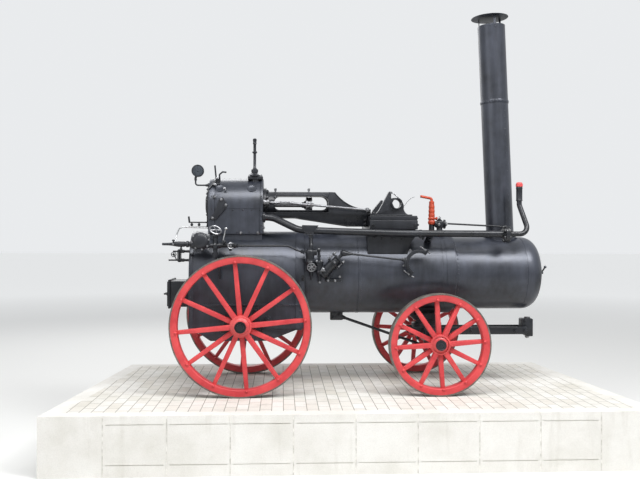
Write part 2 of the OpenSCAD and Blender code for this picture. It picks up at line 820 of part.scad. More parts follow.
// Water gauge on the firebox's back
module water_gauge() {
    color(black) translate([firebox_x0, -230, axis_z]) union() {
        for (z = [130, 215])
            xcyl(-110, 0, 14, 0, z);
        zcyl(110, 235, 17, -110);
        xcyl(-190, -110, 10, 0, 130);
        xcyl(-170, -110, 10, 0, 215);
    }
}

// Rear axle stubs on plates bolted to the firebox sides
module rear_axle() {
    inner = half_track - hub_in;
    outer = half_track + hub_rear_out - 22;
    color(black) for (s = [-1, 1]) union() {
        xz_plate(26, s * (firebox_r + 13)) difference() {
            polygon([[-200, rear_r - 90], [200, rear_r - 90], [150, rear_r + 155],
                [-150, rear_r + 155]]);
            for (x = [-120, 120]) translate([x, rear_r - 50]) circle(r = 14, $fn = 32);
        }
        if (s < 0) {
            ycyl(-outer, -firebox_r - 10, rear_journal_r, 0, rear_r);
            ycyl(-inner + gap, -firebox_r - 10, rear_journal_r + 30, 0, rear_r);
        } else {
            ycyl(firebox_r + 10, outer, rear_journal_r, 0, rear_r);
            ycyl(firebox_r + 10, inner - gap, rear_journal_r + 30, 0, rear_r);
        }
    }
}

// Front saddle under the barrel, with the king pin
module front_saddle() {
    color(black) union() {
        difference() {
            union() {
                xz_plate(230)
                    polygon([[front_x - 215, axis_z - barrel_r + 60],
                        [front_x + 85, axis_z - barrel_r + 60], [front_x + 81, saddle_z0 + 100],
                        [front_x + 68, saddle_z0 + 22], [front_x + 68, saddle_z0],
                        [front_x - 87, saddle_z0], [front_x - 87, saddle_z0 + 22],
                        [front_x - 185, saddle_z0 + 100]]);
                zcyl(saddle_z0, saddle_z0 + 24, 150, front_x);
            }
            xcyl(front_x - 337, front_x + 363, barrel_r + 13, 0, axis_z);
        }
        difference() {
            xcyl(front_x - 225, front_x + 87, barrel_r + 14, 0, axis_z);
            xcyl(front_x - 237, front_x + 103, barrel_r + gap, 0, axis_z);
            slab(front_x - 337, front_x + 363, axis_z - 335, axis_z + 1100, 2000);
        }
        zcyl(front_r - 120, saddle_z0 + 30, king_r, front_x);
        zcyl(front_r - 120, front_r - 103, king_r + 16, front_x);
    }
}

// Stay from the firebox to the king pin's lower end
module stay_rod() {
    color(black) union() {
        difference() {
            slab(barrel_x0 + 270, barrel_x0 + 395, axis_z - barrel_r - 75, axis_z - barrel_r + 20, 60);
            xcyl(barrel_x0 + 210, barrel_x0 + 510, barrel_r + gap, 0, axis_z);
        }
        rod([barrel_x0 + 370, 0, axis_z - barrel_r - 39], [front_x - 47, 0, front_r - 89], 14);
        difference() {
            union() {
                zcyl(front_r - 102, front_r - 76, king_r + 24, front_x);
                slab(front_x - 77, front_x, front_r - 99, front_r - 79, 60);
            }
            zcyl(front_r - 115, front_r - 55, king_r + run_fit, front_x);
        }
    }
}

// Turntable, bolster and axle beam of the front wheels
module fore_carriage() {
    top = saddle_z0 - gap;
    outer = half_track + hub_front_out - 20;
    inner = half_track - hub_in;
    color(black) difference() {
        union() {
            zcyl(top - 22, top, 150, front_x);
            slab(front_x - 60, front_x + 60, axle_top - 1, top - 21, 560);
            slab(front_x - 45, front_x + 45, front_r - axle_h / 2, axle_top, 2 * inner - 2 * gap);
            ycyl(-outer, outer, front_journal_r, front_x, front_r);
        }
        zcyl(front_r - 175, front_r + 225, king_r + run_fit, front_x);
        for (s = [-1, 1])
            slab(front_x - 237, bar_x1, bar_z0, bar_z0 + bar_h, 22, s * bar_y);
    }
}

// Twin draw bars with their cross plates and the jaw at the end
module drawbar() {
    mid = bar_z0 + bar_h / 2;
    color(black) difference() {
        union() {
            for (s = [-1, 1])
                slab(front_x - 187, bar_x1, bar_z0, bar_z0 + bar_h, 22, s * bar_y);
            slab(bar_x1 - 34, bar_x1, bar_z0 + 4, bar_z0 + bar_h - 4, 2 * bar_y);
            slab(front_x + 413, front_x + 453, bar_z0 + 4, bar_z0 + bar_h - 4, 2 * bar_y);
            xz_plate(110)
                polygon([[jaw_x0, jaw_z1], [jaw_x1 - 14, jaw_z1], [jaw_x1, jaw_z1 - 14],
                    [jaw_x1, jaw_z0], [jaw_x0 + 52, jaw_z0], [jaw_x0 + 8, bar_z0],
                    [jaw_x0, bar_z0 + 8]]);
        }
        slab(jaw_x0 + 50, jaw_x1 + 1, bar_z0 + bar_h + 14, jaw_z1 - 26, 200);
        zcyl(jaw_z0 - 78, jaw_z1 + 90, pin_r + run_fit, pin_x);
    }
}

// Coupling pin in the jaw
module coupling_pin() {
    color(black) union() {
        zcyl(jaw_z0 - 22, jaw_z1 + 4, pin_r, pin_x);
        zcyl(jaw_z1 + gap, jaw_z1 + 15, pin_r + 9, pin_x);
    }
}

// Hub of a wheel, turned about its axle; out is the reach beyond the rim's middle
module hub(r, out, journal) {
    difference() {
        rotate_extrude($fn = 96) polygon([[0, -hub_in], [r * 0.72, -hub_in], [r * 0.78, -hub_in + 18],
            [r * 0.9, -48], [r, -40], [r, 40], [r * 0.94, 48], [r * 0.84, 54],
            [r * 0.8, out - 34], [r * 0.66, out - 28], [r * 0.58, out - 22],
            [r * 0.54, out], [0, out]]);
        translate([0, 0, -hub_in - 1])
            cylinder(h = hub_in + out - 20 + 2, r = journal + run_fit, $fn = 96);
    }
}

// Felloe and spokes; the spokes' feet step to either side of the hub's middle
module spoked_rim(r, hub_r, first) {
    out_r = r - tyre_t;
    in_r = out_r - felloe_h;
    foot = 17;
    tilt = atan(foot / (in_r - hub_r));
    difference() {
        union() {
            difference() {
                translate([0, 0, -rim_w / 2 + 3]) cylinder(h = rim_w - 6, r = out_r, $fn = 128);
                translate([0, 0, -rim_w]) cylinder(h = 2 * rim_w, r = in_r, $fn = 128);
            }
            for (i = [0 : spokes - 1]) {
                side = i % 2 == 0 ? 1 : -1;
                rotate([0, 0, first + 360 / spokes * i])
                    translate([hub_r - 12, 0, side * foot])
                        rotate([0, side * tilt, 0])
                            translate([0, 0, -21]) linear_extrude(42)
                                polygon([[0, -spoke_w / 2], [in_r - hub_r + 22, -spoke_w / 2 + 7],
                                    [in_r - hub_r + 22, spoke_w / 2 - 7], [0, spoke_w / 2]]);
            }
        }
        translate([0, 0, -rim_w]) cylinder(h = 2 * rim_w, r = hub_r, $fn = 96);
    }
}

module tyre(r) {
    difference() {
        translate([0, 0, -rim_w / 2]) cylinder(h = rim_w, r = r, $fn = 128);
        translate([0, 0, -rim_w]) cylinder(h = 2 * rim_w, r = r - tyre_t, $fn = 128);
    }
}

// Puts a wheel piece on its axle; side is -1 near and 1 far
module on_axle(x, r, side) {
    translate([x, side * half_track, r]) rotate([-90 * side, 0, 0]) children();
}

plinth();
on_plinth() firebox_shell();
on_plinth() ash_pan();
on_plinth() fire_mouth();
on_plinth() fire_door();
on_plinth() boiler_barrel();
on_plinth() smokebox();
on_plinth() smokebox_door();
on_plinth() chimney();
on_plinth() cylinder_block();
on_plinth() cylinder_cover();
on_plinth() guide_frame();
on_plinth() crosshead();
on_plinth() valve_rod();
on_plinth() crank_base();
on_plinth() crank_bearings();
on_plinth() exhaust_pipe();
on_plinth() exhaust_riser();
on_plinth() whistle_column();
on_plinth() pressure_gauge();
on_plinth() blower_valve();
on_plinth() steam_valve();
on_plinth() injector();
on_plinth() feed_pipe();
on_plinth() feed_pump();
on_plinth() pump_rod();
on_plinth() water_gauge();
on_plinth() rear_axle();
on_plinth() front_saddle();
on_plinth() stay_rod();
on_plinth() fore_carriage();
on_plinth() drawbar();
on_plinth() coupling_pin();
for (side = [-1, 1]) {
    end = side < 0 ? "near" : "far";
    on_plinth() on_axle(0, rear_r, side) color(red) spoked_rim(rear_r, hub_rear_r, rear_spoke_turn);
    on_plinth() on_axle(0, rear_r, side) color(iron) tyre(rear_r);
    on_plinth() on_axle(0, rear_r, side) color(red) hub(hub_rear_r, hub_rear_out, rear_journal_r);
    on_plinth() on_axle(front_x, front_r, side)
            color(red) spoked_rim(front_r, hub_front_r, front_spoke_turn);
    on_plinth() on_axle(front_x, front_r, side) color(iron) tyre(front_r);
    on_plinth() on_axle(front_x, front_r, side)
            color(red) hub(hub_front_r, hub_front_out, front_journal_r);
}
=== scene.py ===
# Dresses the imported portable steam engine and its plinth
from math import atan, cos, pi, radians, sin, sqrt, tan
import bmesh
import bpy
from mathutils import Matrix, Vector


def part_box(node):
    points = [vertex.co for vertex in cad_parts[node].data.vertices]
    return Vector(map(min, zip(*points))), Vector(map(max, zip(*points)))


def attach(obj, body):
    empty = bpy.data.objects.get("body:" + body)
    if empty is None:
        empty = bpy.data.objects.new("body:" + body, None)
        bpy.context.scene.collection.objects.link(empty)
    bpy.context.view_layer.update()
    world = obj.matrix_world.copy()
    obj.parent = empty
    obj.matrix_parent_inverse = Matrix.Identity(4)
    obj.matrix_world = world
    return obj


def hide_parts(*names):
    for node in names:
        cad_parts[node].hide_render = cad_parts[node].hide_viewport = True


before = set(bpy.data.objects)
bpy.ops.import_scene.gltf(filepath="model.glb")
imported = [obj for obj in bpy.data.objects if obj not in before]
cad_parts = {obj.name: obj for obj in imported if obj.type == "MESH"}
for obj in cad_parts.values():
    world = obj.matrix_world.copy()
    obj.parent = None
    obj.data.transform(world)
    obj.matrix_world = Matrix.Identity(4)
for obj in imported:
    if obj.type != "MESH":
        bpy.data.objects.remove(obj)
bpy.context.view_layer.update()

MM = 0.001
# The engine's own origin, on the plinth's top under the rear axle
AXLE_FOOT = Vector((-0.990, 0.050, 0.5003))
ALONG, BACK, NEAR, FAR, UP, DOWN = (1, 0, 0), (-1, 0, 0), (0, -1, 0), (0, 1, 0), (0, 0, 1), (0, 0, -1)


def at(x, y, z):
    """Engine millimetres to scene metres."""
    return Vector((x, y, z)) * MM + AXLE_FOOT


# Camera

CAMERA_SPOT = (-0.6194, -7.4923, 1.9232)
CAMERA_LENS, SENSOR_WIDTH = 42.245, 36


def place_camera():
    """Stands the camera at the viewing angle, solved from the rims of the wheels."""
    yaw, pitch, roll = 0.0510846, 0.0026191, 0.0022505
    ahead = Vector((sin(yaw) * cos(pitch), cos(yaw) * cos(pitch), sin(pitch)))
    right = Vector((cos(yaw), -sin(yaw), 0))
    up = right.cross(ahead)
    side = cos(roll) * right + sin(roll) * up
    top = cos(roll) * up - sin(roll) * right
    lens = bpy.data.cameras.new("photo_view")
    lens.lens = CAMERA_LENS
    lens.sensor_width = SENSOR_WIDTH
    camera = bpy.data.objects.new("photo_view", lens)
    bpy.context.collection.objects.link(camera)
    camera.matrix_world = Matrix.Translation(CAMERA_SPOT) @ Matrix((side, top, -ahead)).transposed().to_4x4()
    bpy.context.scene.camera = camera


place_camera()


# Materials

def colour(code):
    """Turns an sRGB hex value to linear."""
    parts = [int(code[i:i + 2], 16) / 255 for i in (1, 3, 5)]
    return tuple(p / 12.92 if p <= 0.04045 else ((p + 0.055) / 1.055) ** 2.4 for p in parts) + (1,)


def node(material, kind, settings=None, links=None):
    """Adds a node with its settings and links; a linked node gives its first output."""
    made = material.node_tree.nodes.new("ShaderNode" + kind)
    for key, value in (settings or {}).items():
        if isinstance(key, str) and not key[0].isupper():
            setattr(made, key, value)
        else:
            made.inputs[key].default_value = value
    for key, source in (links or {}).items():
        material.node_tree.links.new(getattr(source, "outputs", [source])[0], made.inputs[key])
    return made


def ramp(made, stops):
    """Sets a colour ramp's stops, each a tone or an sRGB hex value."""
    band = made.color_ramp
    while len(band.elements) > 1:
        band.elements.remove(band.elements[-1])
    for i, (place, shade) in enumerate(stops):
        stop = band.elements[0] if i == 0 else band.elements.new(place)
        stop.position = place
        stop.color = colour(shade) if isinstance(shade, str) else (shade, shade, shade, 1)
    return made


def new_material(name):
    """An empty material, and the object coordinates that its patterns read."""
    material = bpy.data.materials.new(name)
    material.use_nodes = True
    material.node_tree.nodes.clear()
    return material, node(material, "TexCoord").outputs["Object"]


def mottle(material, place, size_mm, detail, coarse, stops):
    """Patches of a real size in mm: the plain pattern, and the same in the stops' tones."""
    plain = node(material, "TexNoise", {"Scale": 1000 / size_mm, "Detail": detail, "Roughness": coarse},
                 {"Vector": place})
    return plain, ramp(node(material, "ValToRGB", None, {"Fac": plain}), stops)


def spotted(material, base, cover, place, size_mm, detail, coarse, stops):
    """Lays spots of a real size and a colour on a base: the result, the spots' pattern and its tones."""
    plain, tones = mottle(material, place, size_mm, detail, coarse, stops)
    mixed = node(material, "Mix", {"data_type": "RGBA", "B": colour(cover)}, {"Factor": tones, "A": base})
    return mixed.outputs["Result"], plain, tones


def surface(material, height, strength, depth_mm, settings, links):
    """The finished surface: its colour and gloss, with a skin as deep as depth_mm from a pattern's height."""
    bump = node(material, "Bump", {"Strength": strength, "Distance": depth_mm * MM}, {"Height": height})
    shader = node(material, "BsdfPrincipled", settings, {**links, "Normal": bump})
    node(material, "OutputMaterial", None, {"Surface": shader})
    return material


def painted_iron(name, dark, light, rust, roughness, grain_mm, grain_depth, streak=0.5, sheen=0.0):
    """Black paint on iron: brushed film, dust in broad patches, rust in small spots; sheen is its graphite share."""
    material, place = new_material(name)
    patches = node(material, "TexNoise", {"Scale": 1000 / 320, "Detail": 5, "Roughness": 0.6}, {"Vector": place})
    runs = node(material, "Mapping", {"Scale": (22, 22, 2.2)}, {"Vector": place})
    streaks = node(material, "TexNoise", {"Scale": 1, "Detail": 4, "Roughness": 0.65}, {"Vector": runs})
    tone = node(material, "Mix", {"data_type": "FLOAT", "Factor": streak}, {2: patches, 3: streaks})
    film = ramp(node(material, "ValToRGB", None, {"Fac": tone}), [(0.36, dark), (0.66, light)])
    rusted = spotted(material, film, rust, place, 28, 6, 0.7, [(0.66, 0.0), (0.76, 0.75)])[0]
    gloss = node(material, "MapRange", {"From Min": 0.3, "From Max": 0.7, "To Min": roughness - 0.07,
                                        "To Max": roughness + 0.1}, {"Value": tone})
    grain = node(material, "TexNoise", {"Scale": 1000 / grain_mm, "Detail": 3}, {"Vector": place})
    return surface(material, grain, 0.35, grain_depth, {"IOR": 1.4 + 0.7 * sheen, "Metallic": sheen},
                   {"Base Color": rusted, "Roughness": gloss})


def enamel_red(name, deep, fresh, worn, roughness):
    """Red enamel brushed on oak or iron: faded on top, grain telegraphing through, grey where it has gone."""
    material, place = new_material(name)
    patches, coat = mottle(material, place, 180, 4, 0.6, [(0.34, deep), (0.66, fresh)])
    chipped = spotted(material, coat, worn, place, 16, 6, 0.75, [(0.7, 0.0), (0.74, 0.8)])[0]
    gloss = node(material, "MapRange", {"From Min": 0.3, "From Max": 0.7, "To Min": roughness - 0.06,
                                        "To Max": roughness + 0.12}, {"Value": patches})
    grain = node(material, "TexNoise", {"Scale": 1000 / 7, "Detail": 4}, {"Vector": place})
    return surface(material, grain, 0.3, 0.4, {"IOR": 1.5}, {"Base Color": chipped, "Roughness": gloss})


def bare_metal(name, dull, bright, rust, roughness, metallic, rust_from):
    """Bare iron or steel with rust in patches."""
    material, place = new_material(name)
    metal = mottle(material, place, 60, 6, 0.7, [(0.35, dull), (0.65, bright)])[1]
    rusted, patch, mask = spotted(material, metal, rust, place, 25, 5, 0.65,
                                  [(rust_from, 0.0), (rust_from + 0.14, 1.0)])
    metal_share = node(material, "MapRange", {"To Min": metallic, "To Max": 0.0}, {"Value": mask})
    gloss = node(material, "MapRange", {"To Min": roughness, "To Max": 0.85}, {"Value": mask})
    return surface(material, patch, 0.4, 0.5, None, {"Base Color": rusted, "Metallic": metal_share, "Roughness": gloss})


def cast_concrete(name):
    """Board-cast concrete: pale, cloudy, with grime that runs down and small blow holes."""
    material, place = new_material(name)
    body = mottle(material, place, 420, 7, 0.62, [(0.32, "#dddbd4"), (0.5, "#e8e6e1"), (0.7, "#efeeea")])[1]
    runs = node(material, "Mapping", {"Scale": (9, 9, 1.2)}, {"Vector": place})
    dirty = spotted(material, body, "#bdb8ac", runs, 1000, 5, 0.6, [(0.56, 0.0), (0.76, 0.3)])[0]
    sand, speck = mottle(material, place, 6, 4, 0.7, [(0.3, 0.82), (0.55, 1.0)])
    mixed = node(material, "Mix", {"data_type": "RGBA", "blend_type": "MULTIPLY", "Factor": 0.6},
                 {"A": dirty, "B": speck})
    # Setts on the top, 100 mm by 200 mm, inside a plain border 140 mm wide; the plinth's ends slope
    end_slope, half_length, half_depth = 0.0962, 2.33, 1.16
    across = node(material, "Mapping", {"Rotation": (0, 0, pi / 2)}, {"Vector": place})
    setts = node(material, "TexBrick", {"Scale": 1.0, "Mortar Size": 0.0035, "Mortar Smooth": 0.3, "Brick Width": 0.2,
                                        "Row Height": 0.1, "Color1": colour("#ffffff"), "Color2": colour("#f3f1ed"),
                                        "Mortar": colour("#a09d97")}, {"Vector": across})
    spot = node(material, "SeparateXYZ", None, {"Vector": place}).outputs
    aside = node(material, "Math", {"operation": "ABSOLUTE"}, {0: spot["X"]})
    slanted = node(material, "Math", {"operation": "MULTIPLY_ADD", 1: end_slope}, {0: spot["Y"], 2: aside})
    in_ends = node(material, "Math", {"operation": "LESS_THAN", 1: half_length}, {0: slanted})
    back = node(material, "Math", {"operation": "ABSOLUTE"}, {0: spot["Y"]})
    in_depth = node(material, "Math", {"operation": "LESS_THAN", 1: half_depth}, {0: back})
    facing = node(material, "SeparateXYZ", None, {"Vector": node(material, "NewGeometry").outputs["Normal"]})
    upward = node(material, "Math", {"operation": "GREATER_THAN", 1: 0.9}, {0: facing.outputs["Z"]})
    inside = node(material, "Math", {"operation": "MULTIPLY"}, {0: in_ends, 1: in_depth})
    paved = node(material, "Math", {"operation": "MULTIPLY"}, {0: inside, 1: upward})
    top = node(material, "Mix", {"data_type": "RGBA", "blend_type": "MULTIPLY"},
               {"Factor": paved, "A": mixed.outputs["Result"], "B": setts.outputs["Color"]})
    joints = node(material, "Math", {"operation": "MULTIPLY"}, {0: setts.outputs["Fac"], 1: paved})
    height = node(material, "Math", {"operation": "MULTIPLY_ADD", 1: -3.0}, {0: joints, 2: sand})
    return surface(material, height, 0.35, 0.8, {"IOR": 1.45, "Roughness": 0.88}, {"Base Color": top.outputs["Result"]})


def joint_filler(name):
    """Mastic strip in the plinth's joints: pale, dull and a little dusty."""
    material, place = new_material(name)
    dust, tone = mottle(material, place, 40, 4, 0.5, [(0.35, "#c9c6bf"), (0.65, "#f1efea")])
    return surface(material, dust, 0.3, 0.3, {"IOR": 1.45, "Roughness": 0.7}, {"Base Color": tone})


# Graphite paint brushed on rolled plate: a charcoal sheen with soft streaks and dust
sheeting = painted_iron("graphite_paint_on_plate", "#24272e", "#414550", "#4a3a30", 0.33, 9, 0.25, 0.3, 0.45)
# The same paint on castings: coarser skin, a little glossier where it pools
casting = painted_iron("graphite_paint_on_cast_iron", "#15171b", "#292b31", "#4b382c", 0.3, 5, 0.15, 0.25, 0.1)
# Oil enamel on oak felloes and spokes: warm red, semi-gloss, slightly chalked
felloe_red = enamel_red("red_enamel_on_oak", "#b93339", "#d64a4c", "#6e3a34", 0.4)
# The same enamel on the iron hubs: smoother and a touch brighter
hub_red = enamel_red("red_enamel_on_iron", "#bf3c41", "#da5856", "#5d3a34", 0.34)
# Orange-red valve paint, sun-bleached and rusted through
valve_red = enamel_red("red_lead_on_brass_valve", "#98321f", "#be4a2b", "#6b3d28", 0.42)
# Rolled wrought iron tyre: brown-grey mill scale, polished dull where it ran
tyre_iron = bare_metal("rolled_tyre_iron", "#585552", "#85817b", "#6b5648", 0.5, 0.55, 0.52)
# Machined steel gone dull under old oil
steel = bare_metal("oiled_machine_steel", "#6a6a6d", "#9a9b9e", "#4a3a30", 0.28, 0.85, 0.62)
# Drawn steel tube, still bright
bright_tube = bare_metal("drawn_steel_tube", "#8f9092", "#b6b7b8", "#6a5c50", 0.3, 0.9, 0.72)
# Concrete cast between boards, pale and matt, with grime that has run down and setts let into its top
concrete = cast_concrete("board_cast_concrete")
# Pale mastic, pressed into joints and gone dull
mastic = joint_filler("pale_mastic_strip")
# Satin grey enamel on the gauge's sheet face, faintly mottled, blank
gauge_grey = painted_iron("grey_enamel_on_gauge_sheet", "#2a2f35", "#3c424a", "#57504a", 0.4, 6, 0.1)

SLOTS = {sheeting: "boiler_black", casting: "fitting_black", felloe_red: "wheel_red", hub_red: "hub_red",
         valve_red: "valve_red", tyre_iron: "tyre_iron", steel: "dull_steel", bright_tube: "dull_steel",
         mastic: "plinth_stone", gauge_grey: "gauge_face"}
FINISH = {"plinth": concrete, "steam_valve": valve_red, "crosshead": steel, "valve_rod": steel}
for name in ("boiler_barrel", "smokebox", "smokebox_door", "chimney", "firebox_shell", "cylinder_block"):
    FINISH[name] = sheeting
for place in ("rear_{}_near", "rear_{}_far", "front_{}_near", "front_{}_far"):
    for name, finish in (("wheel", felloe_red), ("tyre", tyre_iron), ("hub", hub_red)):
        FINISH[place.format(name)] = finish
for name, cad_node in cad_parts.items():
    cad_node.data.materials.clear()
    cad_node.data.materials.append(FINISH.get(name, casting))


# Ways of making a part

def spin(degrees, axis):
    return Matrix.Rotation(radians(degrees), 4, axis)


def shift(x, y, z):
    """A move by millimetres."""
    return Matrix.Translation((x * MM, y * MM, z * MM))


def pick_all():
    bpy.ops.mesh.select_all(action="SELECT")


def leave_edit():
    bpy.ops.object.mode_set(mode="OBJECT")


def hold(part):
    """Selects one part alone."""
    bpy.ops.object.select_all(action="DESELECT")
    part.select_set(True)
    bpy.context.view_layer.objects.active = part


def edit(part):
    """Goes into edit mode on one part alone, all of it selected."""
    if bpy.context.mode != "OBJECT":
        leave_edit()
    hold(part)
    bpy.ops.object.mode_set(mode="EDIT")
    bpy.ops.mesh.select_mode(type="FACE")
    pick_all()


def pick(part, test):
    """Selects the faces whose middle and normal pass a test, in edit mode."""
    edit(part)
    bpy.ops.mesh.select_all(action="DESELECT")
    shape = bmesh.from_edit_mesh(part.data)
    for face in shape.faces:
        if test(face.calc_center_median(), face.normal):
            face.select_set(True)
    bmesh.update_edit_mesh(part.data)


def seal():
    """Merges doubles, turns the faces outwards and leaves edit mode."""
    pick_all()
    bpy.ops.mesh.remove_doubles(threshold=0.00001)
    bpy.ops.mesh.normals_make_consistent(inside=False)
    leave_edit()


def turned(steps, start=None, toward=UP, sides=48, hollow=False):
    """Turns a part on its axis from (distance, radius) steps; a hollow one ends on its first step."""
    far, wide = steps[0]
    bpy.ops.object.select_all(action="DESELECT")
    bpy.ops.mesh.primitive_circle_add(vertices=sides, radius=wide * MM, fill_type="NOTHING" if hollow else "NGON")
    part = bpy.context.object
    bpy.ops.object.mode_set(mode="EDIT")
    bpy.ops.mesh.select_mode(type="VERT")
    pick_all()
    bpy.ops.transform.translate(value=(0, 0, far * MM))
    for next_far, next_wide in steps[1:]:
        bpy.ops.mesh.extrude_region_move(TRANSFORM_OT_translate={"value": (0, 0, (next_far - far) * MM)})
        if next_wide != wide:
            bpy.ops.transform.resize(value=(next_wide / wide, next_wide / wide, 1), center_override=(0, 0, 0))
        far, wide = next_far, next_wide
    seal()
    if start is not None:
        part.rotation_euler = Vector(toward).to_track_quat("Z", "Y").to_euler()
        part.location = at(*start)
    return part


def bar(start, end, radius, sides=20, nip=1.5):
    """A round bar between two points, its ends nipped."""
    length = (Vector(end) - Vector(start)).length
    return turned([(0, radius - nip), (nip, radius), (length - nip, radius), (length, radius - nip)],
                  start, Vector(end) - Vector(start), sides)


def block(low, high, round_mm=2.0, segments=2):
    """A block between two corners, its edges rounded."""
    bpy.ops.object.select_all(action="DESELECT")
    bpy.ops.mesh.primitive_cube_add(size=1, location=at(*((a + b) / 2 for a, b in zip(low, high))))
    part = bpy.context.object
    part.scale = [(b - a) * MM for a, b in zip(low, high)]
    bpy.ops.object.transform_apply(location=False, rotation=False, scale=True)
    edit(part)
    bpy.ops.mesh.bevel(offset=round_mm * MM, segments=segments, affect="EDGES")
    leave_edit()
    return part


def plate(outline, low, high, flat="y", round_mm=1.5):
    """A plate cut to an outline and as thick as from low to high along its flat axis."""
    bpy.ops.object.select_all(action="DESELECT")
    bpy.ops.mesh.primitive_circle_add(vertices=len(outline), radius=1, fill_type="NGON")
    part = bpy.context.object
    for corner, (a, b) in zip(part.data.vertices, outline):
        corner.co = {"x": at(low, a, b), "y": at(a, low, b), "z": at(a, b, low)}[flat]
    edit(part)
    step = {"x": ALONG, "y": FAR, "z": UP}[flat]
    bpy.ops.mesh.extrude_region_move(TRANSFORM_OT_translate={"value": tuple(s * (high - low) * MM for s in step)})
    pick_all()
    bpy.ops.mesh.normals_make_consistent(inside=False)
    if round_mm:
        pick(part, lambda middle, normal: abs(normal["xyz".index(flat)]) > 0.9)
        bpy.ops.mesh.bevel(offset=round_mm * MM, segments=2, affect="EDGES")
    leave_edit()
    return part


def bent_path(corners, bend):
    """Rounds the corners of a path, in mm, by steps of about 10 degrees; a nearly straight corner stays."""
    corners = [Vector(c) for c in corners]
    path = [corners[0]]
    for before, here, after in zip(corners, corners[1:], corners[2:]):
        back, on = (before - here).normalized(), (after - here).normalized()
        turn = pi - back.angle(on)
        if turn < 0.02:
            path.append(here)
            continue
        cut_off = min(bend * tan(turn / 2), (before - here).length * 0.49, (after - here).length * 0.49)
        radius = cut_off / tan(turn / 2)
        middle = here + (back + on).normalized() * (radius / cos(turn / 2))
        steps = max(3, int(turn / 0.17))
        first, last = here + back * cut_off - middle, here + on * cut_off - middle
        path += [middle + radius * first.slerp(last, i / steps, first) for i in range(steps + 1)]
    return path + [corners[-1]]


def tube(corners, radius, bend=40, smoothness=6):
    """A tube bent through corner points."""
    bpy.ops.object.select_all(action="DESELECT")
    bpy.ops.curve.primitive_bezier_curve_add(location=(0, 0, 0))
    curve = bpy.context.object.data
    curve.splines.clear()
    line = curve.splines.new("POLY")
    path = bent_path(corners, bend)
    line.points.add(len(path) - 1)
    for point, place in zip(line.points, path):
        point.co = (*at(*place), 1)
    curve.bevel_depth = radius * MM
    curve.bevel_resolution = smoothness
    curve.use_fill_caps = True
    bpy.ops.object.convert(target="MESH")
    edit(bpy.context.object)
    seal()
    return bpy.context.object


def cut(part, cutter):
    """Cuts one part with another, which goes."""
    hold(part)
    tool = part.modifiers.new("cut", "BOOLEAN")
    tool.object = cutter
    tool.operation = "DIFFERENCE"
    tool.solver = "EXACT"
    bpy.ops.object.modifier_apply(modifier="cut")
    bpy.data.objects.remove(cutter)
    return part


def arc(middle, radius, first, last, steps):
    """Points along an arc, in degrees, as pairs."""
    angles = [radians(first + (last - first) * i / steps) for i in range(steps + 1)]
    return [(middle[0] + radius * cos(angle), middle[1] + radius * sin(angle)) for angle in angles]


def join(parts):
    bpy.ops.object.select_all(action="DESELECT")
    for part in parts:
        part.select_set(True)
    bpy.context.view_layer.objects.active = parts[0]
    if len(parts) > 1:
        bpy.ops.object.join()
    return bpy.context.object


def nut(across, height):
    """A hexagon nut on its washer with the stud's end, standing on the origin."""
    corner = across / sqrt(3)
    washer = turned([(0, across * 0.62), (height * 0.12, across * 0.62), (height * 0.16, across * 0.56)], sides=12)
    body = turned([(height * 0.1, corner), (height * 0.86, corner), (height, corner * 0.86)], sides=6)
    stud = turned([(height * 0.9, across * 0.28), (height * 1.28, across * 0.28), (height * 1.36, across * 0.2)],
                  sides=8)
    return join([washer, body, stud])


def rivet(radius, height):
    """A snap-head rivet, standing on the origin."""
    return turned([(0, radius), (height * 0.45, radius * 0.92), (height * 0.8, radius * 0.62), (height, radius * 0.2)],
                  sides=10)


def repeat(pattern, places):
    """Copies a pattern part to each place, given as a matrix; the pattern goes."""
    copies = []
    for place in places:
        twin = pattern.copy()
        twin.data = pattern.data.copy()
        bpy.context.collection.objects.link(twin)
        twin.matrix_world = place @ pattern.matrix_world
        copies.append(twin)
    bpy.data.objects.remove(pattern)
    return copies


def swung(pattern, x, z, angles):
    """Copies a pattern part about an axis that runs across the engine, at angles in degrees; the pattern goes."""
    about = Matrix.Translation(at(x, 0, z))
    return repeat(pattern, [about @ spin(angle, "Y") @ about.inverted() for angle in angles])


def stand(x, y, z, toward, askew=0.0):
    """The place of a nut or rivet on a surface, looking along toward."""
    facing = Vector(toward).to_track_quat("Z", "Y").to_matrix().to_4x4()
    return Matrix.Translation(at(x, y, z)) @ facing @ Matrix.Rotation(askew, 4, "Z")


def bolt_ring(x, y, z, toward, radius, count, first=0.0):
    """Places around an axis, for bolts or rivets that look along it."""
    centre = stand(x, y, z, toward)
    return [centre @ spin(first + 360 * i / count, "Z") @ shift(radius, 0, 0) for i in range(count)]


def settle(parts, name, material, replaces=None, angle=38, body="engine", slot=None):
    """Joins the parts into one finished piece at the origin, with its finish and its body."""
    piece = join(parts)
    piece.name = name
    piece.data.name = name
    bpy.ops.object.transform_apply(location=True, rotation=True, scale=True)
    bpy.ops.object.shade_smooth_by_angle(angle=radians(angle))
    piece.data.materials.clear()
    piece.data.materials.append(material)
    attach(piece, body)
    slot or SLOTS[material]
    if replaces:
        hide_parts(replaces)


# Wheels

FRONT_R, FRONT_X, HALF_TRACK = 475, 1837, 642
# Place, radius, hub radius, hub reach and first spoke's angle of the two sizes of wheel
REAR_WHEEL = (0, 650, 102, 118, 5.4)
FRONT_WHEEL = (FRONT_X, FRONT_R, 95, 78, 4)
SPOKES, SPOKE_LEAN = 12, 17


